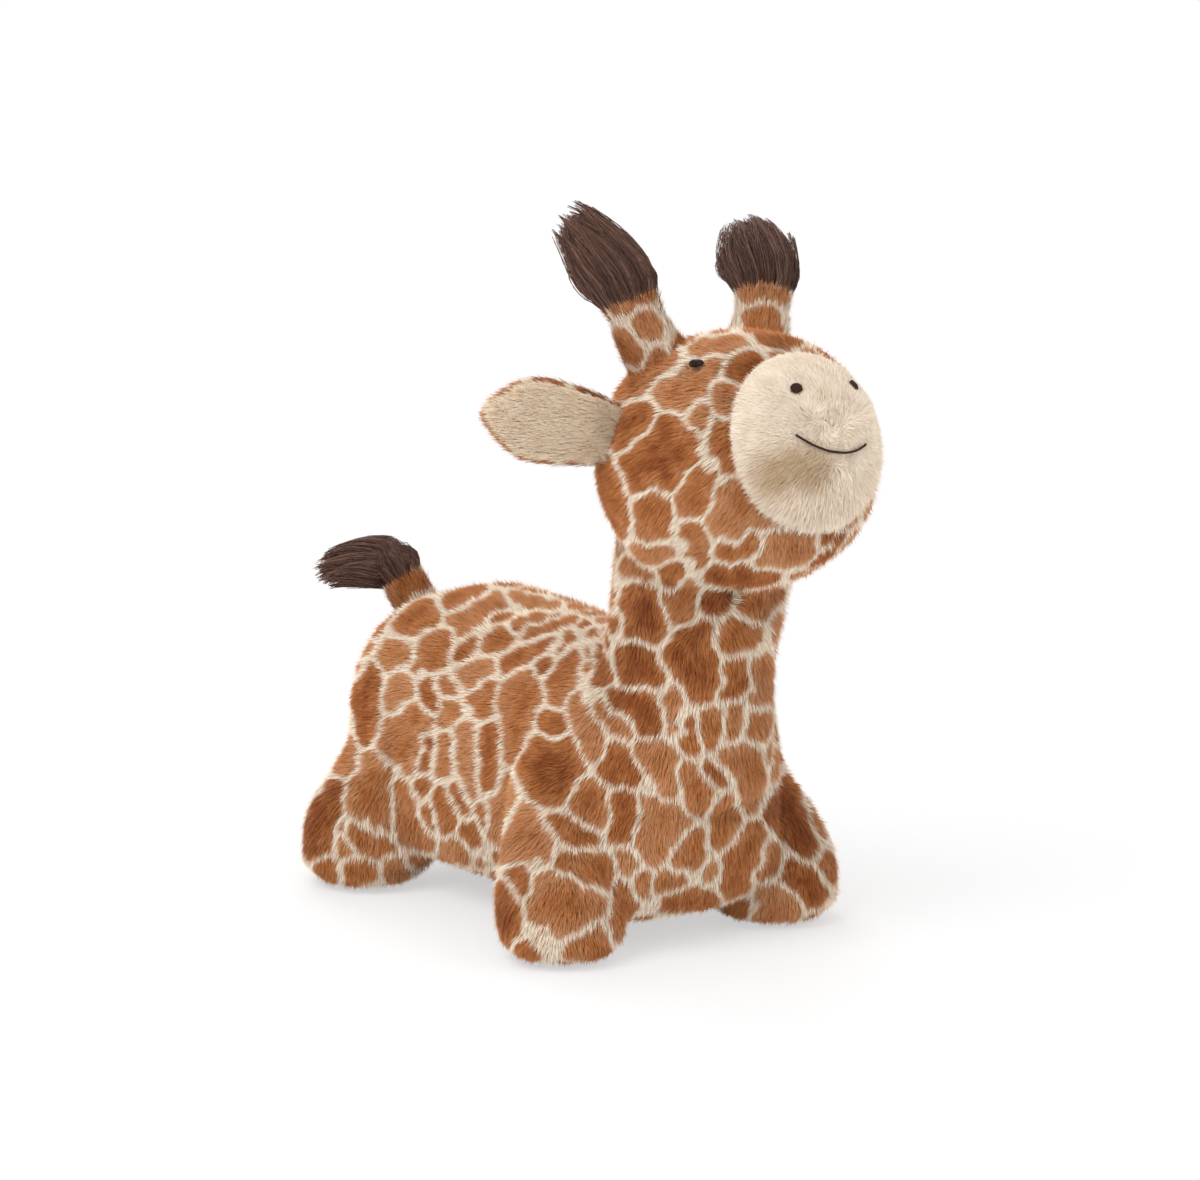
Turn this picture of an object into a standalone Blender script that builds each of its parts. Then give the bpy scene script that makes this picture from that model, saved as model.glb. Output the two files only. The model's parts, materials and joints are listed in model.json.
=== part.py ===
"""A bouncy ride-on giraffe: one inflated body inside a sewn plush cover, facing -Y, in metres."""

import math
from dataclasses import dataclass, replace
from functools import cached_property

import bmesh
import bpy
from mathutils import Matrix, Vector

# Fabric, wall and clearance
COVER = 0.009  # plush cover, backing and flattened pile together
WALL = 0.002  # wall of the inflated body
GAP = 0.0003  # air between two pieces that touch
SOLE_CUT = 0.0005  # how much a sole is flattened by the floor
LEG_CENTRE_X = -0.00475  # sets the two ear tips equally far from the origin
LEG_CENTRE_Y = 0.0503  # sets nose and tail tip equally far from the origin

# Legs
FRONT_LEG_X = 0.112  # leg centre from the midline, at the sole
REAR_LEG_X = 0.119
LEG_Y = 0.150  # leg centre from the middle of the four legs, at the sole
FOOT_RADIUS = 0.0555
ANKLE_RADIUS = 0.059
ANKLE_Z = 0.050
THIGH_RADIUS = 0.052
THIGH_Z = 0.115
THIGH_IN = 0.024  # how far the thigh leans in over the foot
HIP_RADIUS = 0.050
HIP_Z = 0.190
HIP_IN = 0.038
SOLE_DOME = 0.026  # height of the rounded edge of the sole
SOLE_SQUARE = 3.0  # 2 is a round edge, more is squarer

# Trunk
BELLY_Z = 0.020
CHEST_Y = -0.232
RUMP_Y = 0.218
TRUNK_BOX = 2.6  # 2 is an ellipse in section, more is squarer
BELLY_BOX = 4.2  # the same for the lower half of the trunk
CHEST_TOP_Z = 0.268
SADDLE_TOP_Z = 0.257
RUMP_TOP_Z = 0.256
CHEST_HALF = 0.106
SADDLE_HALF = 0.118
RUMP_HALF = 0.127
CHEST_DOME = 0.080
RUMP_DOME = 0.062

# Neck
NECK_FOOT_Y = -0.160
NECK_FOOT_Z = 0.125
NECK_FOOT_HALF = 0.091
NECK_Y = -0.184
NECK_Z = 0.270
NECK_HALF = 0.076
NECK_TOP_Y = -0.215
NECK_TOP_Z = 0.400
NECK_TOP_HALF = 0.082

# Head, in its own frame: along the nose, across and up
HEAD_Y = -0.236
HEAD_Z = 0.441
HEAD_PITCH = math.radians(20.0)  # how far the nose points up
HEAD_ROLL = math.radians(-4.0)  # how far the head hangs to its left
HEAD_BACK = 0.113
HEAD_FRONT = 0.116  # from the middle of the head to the muzzle seam
HEAD_HALF = 0.113
HEAD_HIGH = 0.115
CHIN_LOW = 0.004  # how far the cheeks and chin sit below the middle of the head
CHEEK_ALONG = 0.7  # place of the cheeks, as a share of the way to the muzzle seam
CHEEK_HALF = 0.098
CHEEK_HIGH = 0.104
SEAM_HALF = 0.078
SEAM_HIGH = 0.086
MUZZLE_HALF = 0.071
MUZZLE_HIGH = 0.075
MUZZLE_DEPTH = 0.055
MUZZLE_LOW = 0.001  # how far the muzzle sits below the middle of the head
MUZZLE_ROOT = 0.9  # width of the muzzle inside the head, as a share of its width at the seam

# Ears
EAR_LENGTH = 0.103
EAR_ROOT_HALF = 0.020
EAR_HALF = 0.036
EAR_THICK = 0.0075  # half the thickness of the ear's back
EAR_SHAPE = (  # place along an ear, and shares there of its half width and thickness
    (0.30, 0.92, 1.0),
    (0.62, 1.0, 0.85),
    (1.0, 0.62, 0.7),
)
EAR_TIP_DOME = 0.030
EAR_LINING = 0.0035  # half the thickness of the lining
EAR_LINING_START = 0.009
EAR_LINING_DEEP = 0.6  # share of the lining's half thickness that is sunk in the back
EAR_RIM = 0.005  # spotted rim round the lining
EAR_ROOT_ROOM = 0.004
EAR_RISE = math.radians(6.0)
EAR_STAND_OFF = 0.0022  # hinge line from the head's surface
EAR_ALONG = 0.098  # place on the head, from its back
EAR_ANGLE = math.radians(18.0)  # place on the head, up from its side
EAR_SWEEP = math.radians(36.0)  # how far the ear points back

# Horns
HORN_RADIUS = 0.0225
HORN_LENGTH = 0.034
HORN_STAND_OFF = 0.0155
HORN_ALONG = 0.104
HORN_ANGLE = math.radians(62.0)
HORN_OUT = math.radians(16.0)
HORN_BACK = math.radians(20.0)
HORN_TIP_RADIUS = 0.0235
SLEEVE = 0.004  # thickness of a horn or tail sleeve
RIM_ROUND = 0.0006  # rounding of a sleeve's cut end
JOINT_GAP = 0.0006  # air round a root that turns
TUFT_BENDS = {  # how far the tip of each tuft falls out, back and up
    "right": (0.026, 0.022, 0.002),
    "left": (-0.010, 0.030, -0.014),
}
TUFT_LENGTH = 0.074
TUFT_HALF = 0.029
TUFT_SHAPE = (  # place along a tuft, and shares there of its half width, half depth and bend
    (0.12, 0.93, 0.88, 0.0),
    (0.25, 1.0, 0.9, 0.0),
    (0.55, 1.0, 0.8, 0.28),
    (0.80, 0.75, 0.6, 0.62),
    (1.0, 0.35, 0.3, 1.0),
)
TUFT_DOME = 0.2  # length of a tuft's rounded tip, as a share of its length

# Tail
TAIL_Z = 0.196
TAIL_RADIUS = 0.021
TAIL_TIP_RADIUS = 0.018
TAIL_LENGTH = 0.058
TAIL_STAND_OFF = 0.014
TAIL_SIDE = math.radians(42.0)  # where the tail lies at rest, to the animal's right
TAIL_RISE = math.radians(60.0)
TAIL_TUFT_LENGTH = 0.062
TAIL_TUFT_HALF = 0.0235
TAIL_TUFT_DROP = 0.056
TAIL_TUFT_OUT = 0.044

# Eyes
EYE_RADIUS = 0.0085
EYE_BULGE = 0.0045
EYE_STEPS = (0.0, 0.5, 1.0, 1.3)  # angles of the rings of the dome
EYE_SHANK_RADIUS = 0.0022
EYE_WASHER_RADIUS = 0.0070
EYE_WASHER_THICK = 0.0012
EYE_SEAT = 0.0012  # how deep the eye sits in the pile
EYE_ALONG = 0.181
EYE_ANGLE = math.radians(49.5)

# Face stitching
STITCH_PROUD = 0.0008
NOSTRIL_HALF = 0.0055
NOSTRIL_TOP_HALF = 0.00385
NOSTRIL_WIDEN = 1.25
NOSTRIL_X = 0.027
NOSTRIL_UP = 0.0365
MOUTH_HALF = 0.034
MOUTH_CURL = 0.010  # how far its ends turn up
MOUTH_UP = -0.019
MOUTH_RADIUS = 0.0013
MOUTH_STEPS = 8

# Air valve in the belly
VALVE_Y = -0.062
VALVE_BORE = 0.0040
VALVE_TUBE = 0.0070
VALVE_TUBE_LENGTH = 0.014
VALVE_FLANGE = 0.0125
VALVE_FLANGE_THICK = 0.0018
PLUG_HEAD = 0.0070
PLUG_HEAD_THICK = 0.0022
PLUG_TAPER = 0.0006
EYELET_HOLE = 0.0150
EYELET_WIDTH = 0.0035
EYELET_THICK = 0.0012

# Zip in the belly
ZIP_START_Y = -0.020
ZIP_LENGTH = 0.150
ZIP_TAPE = 0.011
ZIP_TAPE_THICK = 0.0010
ZIP_WEB = 0.0006
ZIP_TOOTH_WIDTH = 0.0020
ZIP_TOOTH_THICK = 0.0016
ZIP_TOOTH_PITCH = 0.0045
ZIP_STOP_LENGTH = 0.004
ZIP_SLIDER_LENGTH = 0.009
ZIP_SLIDER_HALF = 0.0048
ZIP_SLIDER_WALL = 0.0010
ZIP_ARCH_HALF = 0.0008
ZIP_ARCH_REACH = 0.0029
ZIP_EYE = 0.0045
ZIP_PULL_LENGTH = 0.011
ZIP_PULL_HALF = 0.0030
ZIP_PULL_THICK = 0.0012
ZIP_TURN_ROOM = 0.0009  # from the pull's axis to the slider and to the arch

# Fineness of the round shapes
OUTER_SEGMENTS = 20
INNER_SEGMENTS = 12
DOME_STEPS = 3
ROUND_SEGMENTS = 16
LEG_SEGMENTS = 16
BALL_RINGS = 12
SPINE_STEPS = 60
SURFACE_STEP = 0.002  # how far apart the points lie that give a surface's direction


@dataclass(frozen=True)
class Form:
    """One stuffed form: a closed skin round a spine, swelling and tapering from ring to ring."""

    stations: tuple  # (centre, half width, half depth) of each chosen ring
    side: Vector  # the way the half width points
    first_dome: float  # length of the rounded end at the first station
    last_dome: float
    rings: int  # rings between the two rounded ends
    segments: int = OUTER_SEGMENTS
    box: float = 2.0  # 2 is an ellipse, more is squarer
    under_box: float = 0.0  # the same for the lower half, where it differs
    dome_box: float = 2.0  # the same for the profile of the first rounded end
    flat: float = 0.0  # how much of the first end is pressed flat

    def curve(self, place):
        """Centre, half width and half depth at a place counted in stations, on one smooth curve."""
        last = len(self.stations) - 1
        index = min(max(int(place), 0), last - 1)
        t = place - index
        row = [self.stations[min(max(index + k, 0), last)] for k in (-1, 0, 1, 2)]
        return tuple(smooth(*[station[k] for station in row], t) for k in range(3))

    @cached_property
    def distances(self):
        """How far along the spine each of the evenly numbered places lies."""
        last = len(self.stations) - 1
        places = [self.curve(last * k / SPINE_STEPS)[0] for k in range(SPINE_STEPS + 1)]
        total = [0.0]
        for a, b in zip(places, places[1:]):
            total.append(total[-1] + (b - a).length)
        return total

    @property
    def length(self):
        """Length of the spine, rounded ends included."""
        return self.distances[-1]

    def at(self, along):
        """Centre, half width and half depth at a distance along the spine."""
        along = min(max(along, 0.0), self.length)
        index = max(k for k in range(SPINE_STEPS) if self.distances[k] <= along)
        part = (along - self.distances[index]) / (self.distances[index + 1] - self.distances[index])
        return self.curve((len(self.stations) - 1) * (index + part) / SPINE_STEPS)

    def axes(self, along):
        """Side, depth and spine directions at a distance along the spine."""
        step = self.length / SPINE_STEPS
        spine = (self.at(along + step)[0] - self.at(along - step)[0]).normalized()
        side = (self.side - spine * self.side.dot(spine)).normalized()
        return side, spine.cross(side), spine

    def fullness(self, along):
        """How full the skin is at a distance along the spine: 1 but for the rounded ends."""
        first = max(1 - along / self.first_dome, 0.0)
        last = max(1 - (self.length - along) / self.last_dome, 0.0)
        power = self.dome_box
        return max(1 - first**power, 0.0) ** (1 / power) * max(1 - last * last, 0.0) ** 0.5

    def rows(self):
        """Distances along the spine at which the skin has a ring."""
        angles = [math.pi / 2 * k / DOME_STEPS for k in range(1, DOME_STEPS + 1)]
        power = 2 / self.dome_box
        start = [self.first_dome * (1 - math.cos(a) ** power) for a in angles[:-1]] + [self.first_dome]
        end = [self.length - self.last_dome * (1 - math.cos(a)) for a in angles]
        gap = end[-1] - start[-1]
        body = [start[-1] + gap * k / (self.rings + 1) for k in range(1, self.rings + 1)]
        return ([self.flat] if self.flat else []) + start + body + end[::-1]

    def point(self, along, angle):
        """A point of the skin: angle 0 is along the side, a quarter turn on is along the depth."""
        centre, wide, deep = self.at(along)
        side, depth, _ = self.axes(along)
        full = self.fullness(along)
        c, s = math.cos(angle), math.sin(angle)
        box = self.under_box if self.under_box and s < 0 else self.box
        x = math.copysign(abs(c) ** (2 / box), c) * wide * full
        y = math.copysign(abs(s) ** (2 / box), s) * deep * full
        return centre + side * x + depth * y

    def surface(self, along, angle):
        """A point of the skin and the direction straight out of it."""
        step = SURFACE_STEP
        here = self.point(along, angle)
        down = self.point(along + step, angle) - self.point(along - step, angle)
        across = self.point(along, angle + step) - self.point(along, angle - step)
        normal = across.cross(down).normalized()
        return here, normal if normal.dot(here - self.at(along)[0]) > 0 else -normal

    def skin(self, grow=0.0):
        """The closed skin as a bmesh, moved out along its normals by grow."""
        mesh = bmesh.new()
        turn = math.tau / self.segments
        rows = self.rows()
        first = mesh.verts.new(self.at(self.flat)[0])
        last = mesh.verts.new(self.at(self.length)[0])
        loops = []
        for along in rows:
            corners = [self.point(along, (k + 0.5) * turn) for k in range(self.segments)]
            loops.append([mesh.verts.new(corner) for corner in corners])
        for a, b in zip(loops, loops[1:]):
            bridge(mesh, a, b)
        for k in range(self.segments):
            j = (k + 1) % self.segments
            mesh.faces.new((first, loops[0][j], loops[0][k]))
            mesh.faces.new((last, loops[-1][k], loops[-1][j]))
        bmesh.ops.triangulate(mesh, faces=mesh.faces, quad_method="FIXED")
        outward(mesh)
        if grow:
            places = [vert.co + vert.normal * grow for vert in mesh.verts]
            for vert, place in zip(mesh.verts, places):
                vert.co = place
        return mesh

    def coarse(self):
        """The same form with fewer faces, for what the cover hides."""
        return replace(self, rings=max(self.rings // 2, 2), segments=INNER_SEGMENTS)


def smooth(a, b, c, d, t):
    """The value at t between b and c, on a smooth curve that also minds a and d."""
    slope = (c - a) * (t / 2)
    bend = (a * 2 - b * 5 + c * 4 - d) * (t * t / 2)
    return b + slope + bend + ((b - c) * 3 - a + d) * (t**3 / 2)


def ring(centre, radius):
    """A round station of a form."""
    return centre, radius, radius


def bridge(mesh, a, b):
    """Faces between two rings with the same number of corners."""
    for k in range(len(a)):
        j = (k + 1) % len(a)
        mesh.faces.new((a[k], a[j], b[j], b[k]))


def outward(mesh):
    """Turns every face of a closed bmesh to point out."""
    bmesh.ops.recalc_face_normals(mesh, faces=mesh.faces)
    if mesh.calc_volume(signed=True) < 0:
        bmesh.ops.reverse_faces(mesh, faces=mesh.faces)
    mesh.normal_update()


def turned(place, profile, segments=ROUND_SEGMENTS, closed=False):
    """A body turned from (radius, height) points round a place's Z; closed joins last to first."""
    mesh = bmesh.new()
    loops = []
    for radius, height in profile:
        if radius == 0:
            loops.append([mesh.verts.new(place @ Vector((0, 0, height)))])
            continue
        angles = [math.tau * k / segments for k in range(segments)]
        corners = [Vector((radius * math.cos(a), radius * math.sin(a), height)) for a in angles]
        loops.append([mesh.verts.new(place @ corner) for corner in corners])
    for a, b in zip(loops, loops[1:] + loops[:1] if closed else loops[1:]):
        if len(a) > 1 and len(b) > 1:
            bridge(mesh, a, b)
            continue
        pole, rim = (a[0], b) if len(a) == 1 else (b[0], a)
        for k in range(len(rim)):
            mesh.faces.new((pole, rim[k], rim[(k + 1) % len(rim)]))
    outward(mesh)
    return mesh


def block(low, high):
    """A box between two corners."""
    mesh = bmesh.new()
    size = Vector(high) - Vector(low)
    centre = (Vector(high) + Vector(low)) / 2
    bmesh.ops.create_cube(mesh, size=1, matrix=Matrix.Translation(centre) @ Matrix.Diagonal((*size, 1)))
    return mesh


def prism(outline, low, high):
    """A closed upright body over a flat outline."""
    mesh = bmesh.new()
    below = [mesh.verts.new((x, y, low)) for x, y in outline]
    above = [mesh.verts.new((x, y, high)) for x, y in outline]
    bridge(mesh, below, above)
    mesh.faces.new(below)
    mesh.faces.new(above)
    outward(mesh)
    return mesh


def comb(inner, valley, outer, first, pitch, count):
    """Outline of a row of teeth along Y, joined by a strip from its valley to its outer edge."""
    outline = [(outer, first)]
    for k in range(count):
        y = first + k * pitch
        outline += [(inner, y), (inner, y + pitch / 2), (valley, y + pitch / 2), (valley, y + pitch)]
    return outline[:-1] + [(outer, first + (count - 0.5) * pitch)]


def facing(origin, out, up):
    """A place at origin whose Z points out and whose Y is as near to up as it can be."""
    z = out.normalized()
    x = up.cross(z).normalized()
    return Matrix.Translation(origin) @ Matrix((x, z.cross(x), z)).transposed().to_4x4()


def trunk_form():
    """The trunk, from rump to chest, flat along the belly."""

    def station(y, top, half):
        return Vector((0, y, (top + BELLY_Z) / 2)), half, (top - BELLY_Z) / 2

    saddle_y = (RUMP_Y + CHEST_Y) / 2
    return Form(
        stations=(
            station(RUMP_Y, RUMP_TOP_Z, RUMP_HALF),
            station((RUMP_Y + saddle_y) / 2, RUMP_TOP_Z, RUMP_HALF),
            station(saddle_y, SADDLE_TOP_Z, SADDLE_HALF),
            station((CHEST_Y + saddle_y) / 2, CHEST_TOP_Z, CHEST_HALF),
            station(CHEST_Y, CHEST_TOP_Z, CHEST_HALF),
        ),
        side=Vector((1, 0, 0)),
        first_dome=RUMP_DOME,
        last_dome=CHEST_DOME,
        rings=6,
        box=TRUNK_BOX,
        under_box=BELLY_BOX,
    )


def leg_form(side, end):
    """One leg, from its sole up to the hip; side is -1 for right, end is -1 for front."""

    def station(z, lean, radius):
        x = FRONT_LEG_X if end < 0 else REAR_LEG_X
        return ring(Vector((side * (x - lean), end * (LEG_Y - lean), z)), radius)

    return Form(
        stations=(
            station(-SOLE_CUT, 0, FOOT_RADIUS),
            station(ANKLE_Z / 2, 0, (FOOT_RADIUS + ANKLE_RADIUS) / 2),
            station(ANKLE_Z, 0, ANKLE_RADIUS),
            station(THIGH_Z, THIGH_IN, THIGH_RADIUS),
            station(HIP_Z, HIP_IN, HIP_RADIUS),
        ),
        side=Vector((1, 0, 0)),
        first_dome=SOLE_DOME,
        last_dome=HIP_RADIUS,
        rings=3,
        segments=LEG_SEGMENTS,
        dome_box=SOLE_SQUARE,
        flat=SOLE_CUT,
    )


def neck_form():
    """The neck, from inside the chest up into the head."""
    return Form(
        stations=(
            ring(Vector((0, NECK_FOOT_Y, NECK_FOOT_Z)), NECK_FOOT_HALF),
            ring(Vector((0, NECK_Y, NECK_Z)), NECK_HALF),
            ring(Vector((0, NECK_TOP_Y, NECK_TOP_Z)), NECK_TOP_HALF),
        ),
        side=Vector((1, 0, 0)),
        first_dome=NECK_FOOT_HALF / 2,
        last_dome=NECK_TOP_HALF / 2,
        rings=5,
    )


def head_axes():
    """The head's left, the way its nose points, and its up."""
    nose = Vector((0, -math.cos(HEAD_PITCH), math.sin(HEAD_PITCH)))
    left = Matrix.Rotation(HEAD_ROLL, 3, nose) @ Vector((1, 0, 0))
    return left, nose, nose.cross(left)


def head_form():
    """The head, from its back to just past the muzzle seam."""
    left, nose, up = head_axes()
    middle = Vector((0, HEAD_Y, HEAD_Z))
    chin = up * -CHIN_LOW
    return Form(
        stations=(
            (middle - nose * HEAD_BACK, HEAD_HALF, HEAD_HIGH),
            (middle, HEAD_HALF, HEAD_HIGH),
            (middle + nose * HEAD_FRONT * CHEEK_ALONG + chin, CHEEK_HALF, CHEEK_HIGH),
            (middle + nose * (HEAD_FRONT + MUZZLE_DEPTH / 2) + chin, SEAM_HALF, SEAM_HIGH),
        ),
        side=left,
        first_dome=HEAD_BACK,
        last_dome=MUZZLE_DEPTH,
        rings=5,
    )


def muzzle_form():
    """The muzzle: a round dome that swells out of the head at its seam."""
    left, nose, up = head_axes()
    seam = Vector((0, HEAD_Y, HEAD_Z)) + nose * HEAD_FRONT - up * MUZZLE_LOW
    return Form(
        stations=(
            (seam - nose * MUZZLE_DEPTH, MUZZLE_HALF * MUZZLE_ROOT, MUZZLE_HIGH * MUZZLE_ROOT),
            (seam, MUZZLE_HALF, MUZZLE_HIGH),
            (seam + nose * MUZZLE_DEPTH, MUZZLE_HALF, MUZZLE_HIGH),
        ),
        side=left,
        first_dome=MUZZLE_DEPTH / 2,
        last_dome=MUZZLE_DEPTH,
        rings=3,
    )


def on_muzzle(muzzle, x, up):
    """A point of the muzzle's dome, x across and up from its middle, and the way out of it."""
    full = math.hypot(x / MUZZLE_HALF, up / MUZZLE_HIGH)
    along = muzzle.length - muzzle.last_dome * (1 - math.sqrt(1 - full * full))
    return muzzle.surface(along, math.atan2(up, x))


@dataclass(frozen=True)
class Finish:
    """Colour and surface of one material."""

    colour: tuple
    roughness: float
    metallic: float = 0.0


SPOTTED = Finish((0.42, 0.17, 0.06), 0.95)
CREAM = Finish((0.68, 0.53, 0.36), 0.95)
DARK_PILE = Finish((0.065, 0.035, 0.028), 0.9)
BLADDER = Finish((0.78, 0.74, 0.66), 0.35)
STUFFING = Finish((0.82, 0.82, 0.80), 0.95)
VALVE = Finish((0.85, 0.85, 0.83), 0.4)
BINDING = Finish((0.30, 0.13, 0.06), 0.85)
ZIP_CLOTH = Finish((0.30, 0.14, 0.07), 0.9)
ZIP_NYLON = Finish((0.24, 0.11, 0.06), 0.45)
ZIP_METAL = Finish((0.55, 0.53, 0.50), 0.35, 1.0)
EYE_BLACK = Finish((0.010, 0.009, 0.009), 0.12)
WASHER = Finish((0.80, 0.80, 0.78), 0.5)
THREAD = Finish((0.070, 0.035, 0.025), 0.7)


@dataclass(frozen=True)
class Joint:
    """An empty on a joint's axis; what moves with it is parented to it."""

    place: Vector
    empty: bpy.types.Object


def joint(name, place, parent=None):
    """An empty at a joint, carried by the joint before it."""
    empty = bpy.data.objects.new(name, None)
    empty.empty_display_size = 0.02
    bpy.context.scene.collection.objects.link(empty)
    if parent:
        empty.parent = parent.empty
        empty.location = place - parent.place
    return Joint(place, empty)


def material(name, finish):
    """A plain material for one piece."""
    made = bpy.data.materials.new(name)
    made.use_nodes = True
    shader = made.node_tree.nodes["Principled BSDF"]
    shader.inputs["Base Color"].default_value = (*finish.colour, 1.0)
    shader.inputs["Roughness"].default_value = finish.roughness
    shader.inputs["Metallic"].default_value = finish.metallic
    return made


def shape(name, mesh, carrier):
    """An object from a bmesh, with its origin at its carrier."""
    mesh.transform(Matrix.Translation(-carrier.place))
    data = bpy.data.meshes.new(name)
    mesh.to_mesh(data)
    mesh.free()
    made = bpy.data.objects.new(name, data)
    bpy.context.scene.collection.objects.link(made)
    made.parent = carrier.empty
    return made


def piece(name, mesh, finish, carrier, sharp=40):
    """One named piece of the toy."""
    made = shape(name, mesh, carrier)
    made.data.shade_smooth()
    made.data.set_sharp_from_angle(angle=math.radians(sharp))
    made.data.materials.append(material(name, finish))
    return made


def tool(name, mesh, carrier):
    """A hidden shape that only cuts or joins others."""
    made = shape(name, mesh, carrier)
    made.hide_render = True
    made.display_type = "WIRE"
    return made


def combine(made, operation, *others):
    """Cuts other shapes from a piece, or joins them to it."""
    for other in others:
        modifier = made.modifiers.new(other.name, "BOOLEAN")
        modifier.operation = operation
        modifier.solver = "EXACT"
        modifier.object = other


def lowest(mesh):
    """Height of the lowest face of a bmesh, which this also frees."""
    height = min(vert.co.z for vert in mesh.verts)
    mesh.free()
    return height


def sewn_cover(root, torso, head_joint):
    """The cover's panels and the inflated body that fills them."""
    legs = {}
    for side, side_name in ((-1, "right"), (1, "left")):
        for end, end_name in ((-1, "front"), (1, "rear")):
            legs[f"{end_name}_{side_name}"] = leg_form(side, end)
    forms = {"trunk": trunk_form(), "neck": neck_form(), "head": head_form(), "muzzle": muzzle_form()}
    rooms, airs, voids = {}, {}, {}
    for name, form in {**forms, **legs}.items():
        coarse = form.coarse()
        rooms[name] = tool(f"{name}_room", coarse.skin(-COVER), root)
        if name != "trunk":
            airs[name] = tool(f"{name}_air", coarse.skin(-COVER - GAP), root)
        voids[name] = tool(f"{name}_void", coarse.skin(-COVER - GAP - WALL), root)
    skins = {name: tool(f"{name}_skin", form.skin(GAP), root) for name, form in forms.items()}
    covers = {}
    covers["trunk"] = piece("trunk_cover", forms["trunk"].skin(), SPOTTED, torso)
    combine(covers["trunk"], "DIFFERENCE", rooms["trunk"], rooms["neck"], *[rooms[leg] for leg in legs])
    covers["neck"] = piece("neck_cover", forms["neck"].skin(), SPOTTED, torso)
    combine(covers["neck"], "DIFFERENCE", rooms["neck"], skins["trunk"], skins["head"])
    covers["head"] = piece("head_cover", forms["head"].skin(), SPOTTED, head_joint)
    combine(covers["head"], "DIFFERENCE", rooms["head"], rooms["neck"], rooms["muzzle"])
    covers["muzzle"] = piece("muzzle_cover", forms["muzzle"].skin(), CREAM, head_joint)
    combine(covers["muzzle"], "DIFFERENCE", rooms["muzzle"], skins["head"])
    for name, form in legs.items():
        covers[name] = piece(f"{name}_leg_cover", form.skin(), SPOTTED, root)
        combine(covers[name], "DIFFERENCE", rooms[name], skins["trunk"], skins["neck"])
    bladder = piece("inflatable_body", forms["trunk"].coarse().skin(-COVER - GAP), BLADDER, torso)
    combine(bladder, "UNION", *airs.values())
    combine(bladder, "DIFFERENCE", *voids.values())
    return forms, covers, bladder


def air_valve(torso, cover, bladder, cover_low, air_low):
    """The valve in the belly: a seat on the inflated body, a plug, and a bound hole in the cover."""
    place = Matrix.Translation((0, VALVE_Y, 0))
    flange_top = air_low - GAP
    flange_low = flange_top - VALVE_FLANGE_THICK
    tube_top = air_low + VALVE_TUBE_LENGTH
    seat = (
        (VALVE_BORE, flange_low),
        (VALVE_FLANGE, flange_low),
        (VALVE_FLANGE, flange_top),
        (VALVE_TUBE, flange_top),
        (VALVE_TUBE, tube_top),
        (VALVE_BORE, tube_top),
    )
    piece("valve_seat", turned(place, seat, closed=True), VALVE, torso)
    drill = ((0, BELLY_Z), (VALVE_TUBE + GAP, BELLY_Z), (VALVE_TUBE + GAP, tube_top), (0, tube_top))
    combine(bladder, "DIFFERENCE", tool("valve_drill", turned(place, drill), torso))
    pull = joint("valve_plug_pull", Vector((0, VALVE_Y, flange_low)), torso)
    head_top = flange_low - GAP
    shank = VALVE_BORE - GAP
    plug = (
        (0, head_top - PLUG_HEAD_THICK),
        (PLUG_HEAD, head_top - PLUG_HEAD_THICK),
        (PLUG_HEAD, head_top),
        (shank, head_top),
        (shank - PLUG_TAPER, tube_top),
        (0, tube_top),
    )
    piece("valve_plug", turned(place, plug), VALVE, pull)
    hole = ((0, 0), (EYELET_HOLE, 0), (EYELET_HOLE, air_low + COVER), (0, air_low + COVER))
    combine(cover, "DIFFERENCE", tool("eyelet_hole", turned(place, hole), torso))
    top = cover_low - GAP
    eyelet = (
        (EYELET_HOLE, top - EYELET_THICK),
        (EYELET_HOLE + EYELET_WIDTH, top - EYELET_THICK),
        (EYELET_HOLE + EYELET_WIDTH, top),
        (EYELET_HOLE, top),
    )
    piece("valve_eyelet", turned(place, eyelet, closed=True), BINDING, torso)


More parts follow.
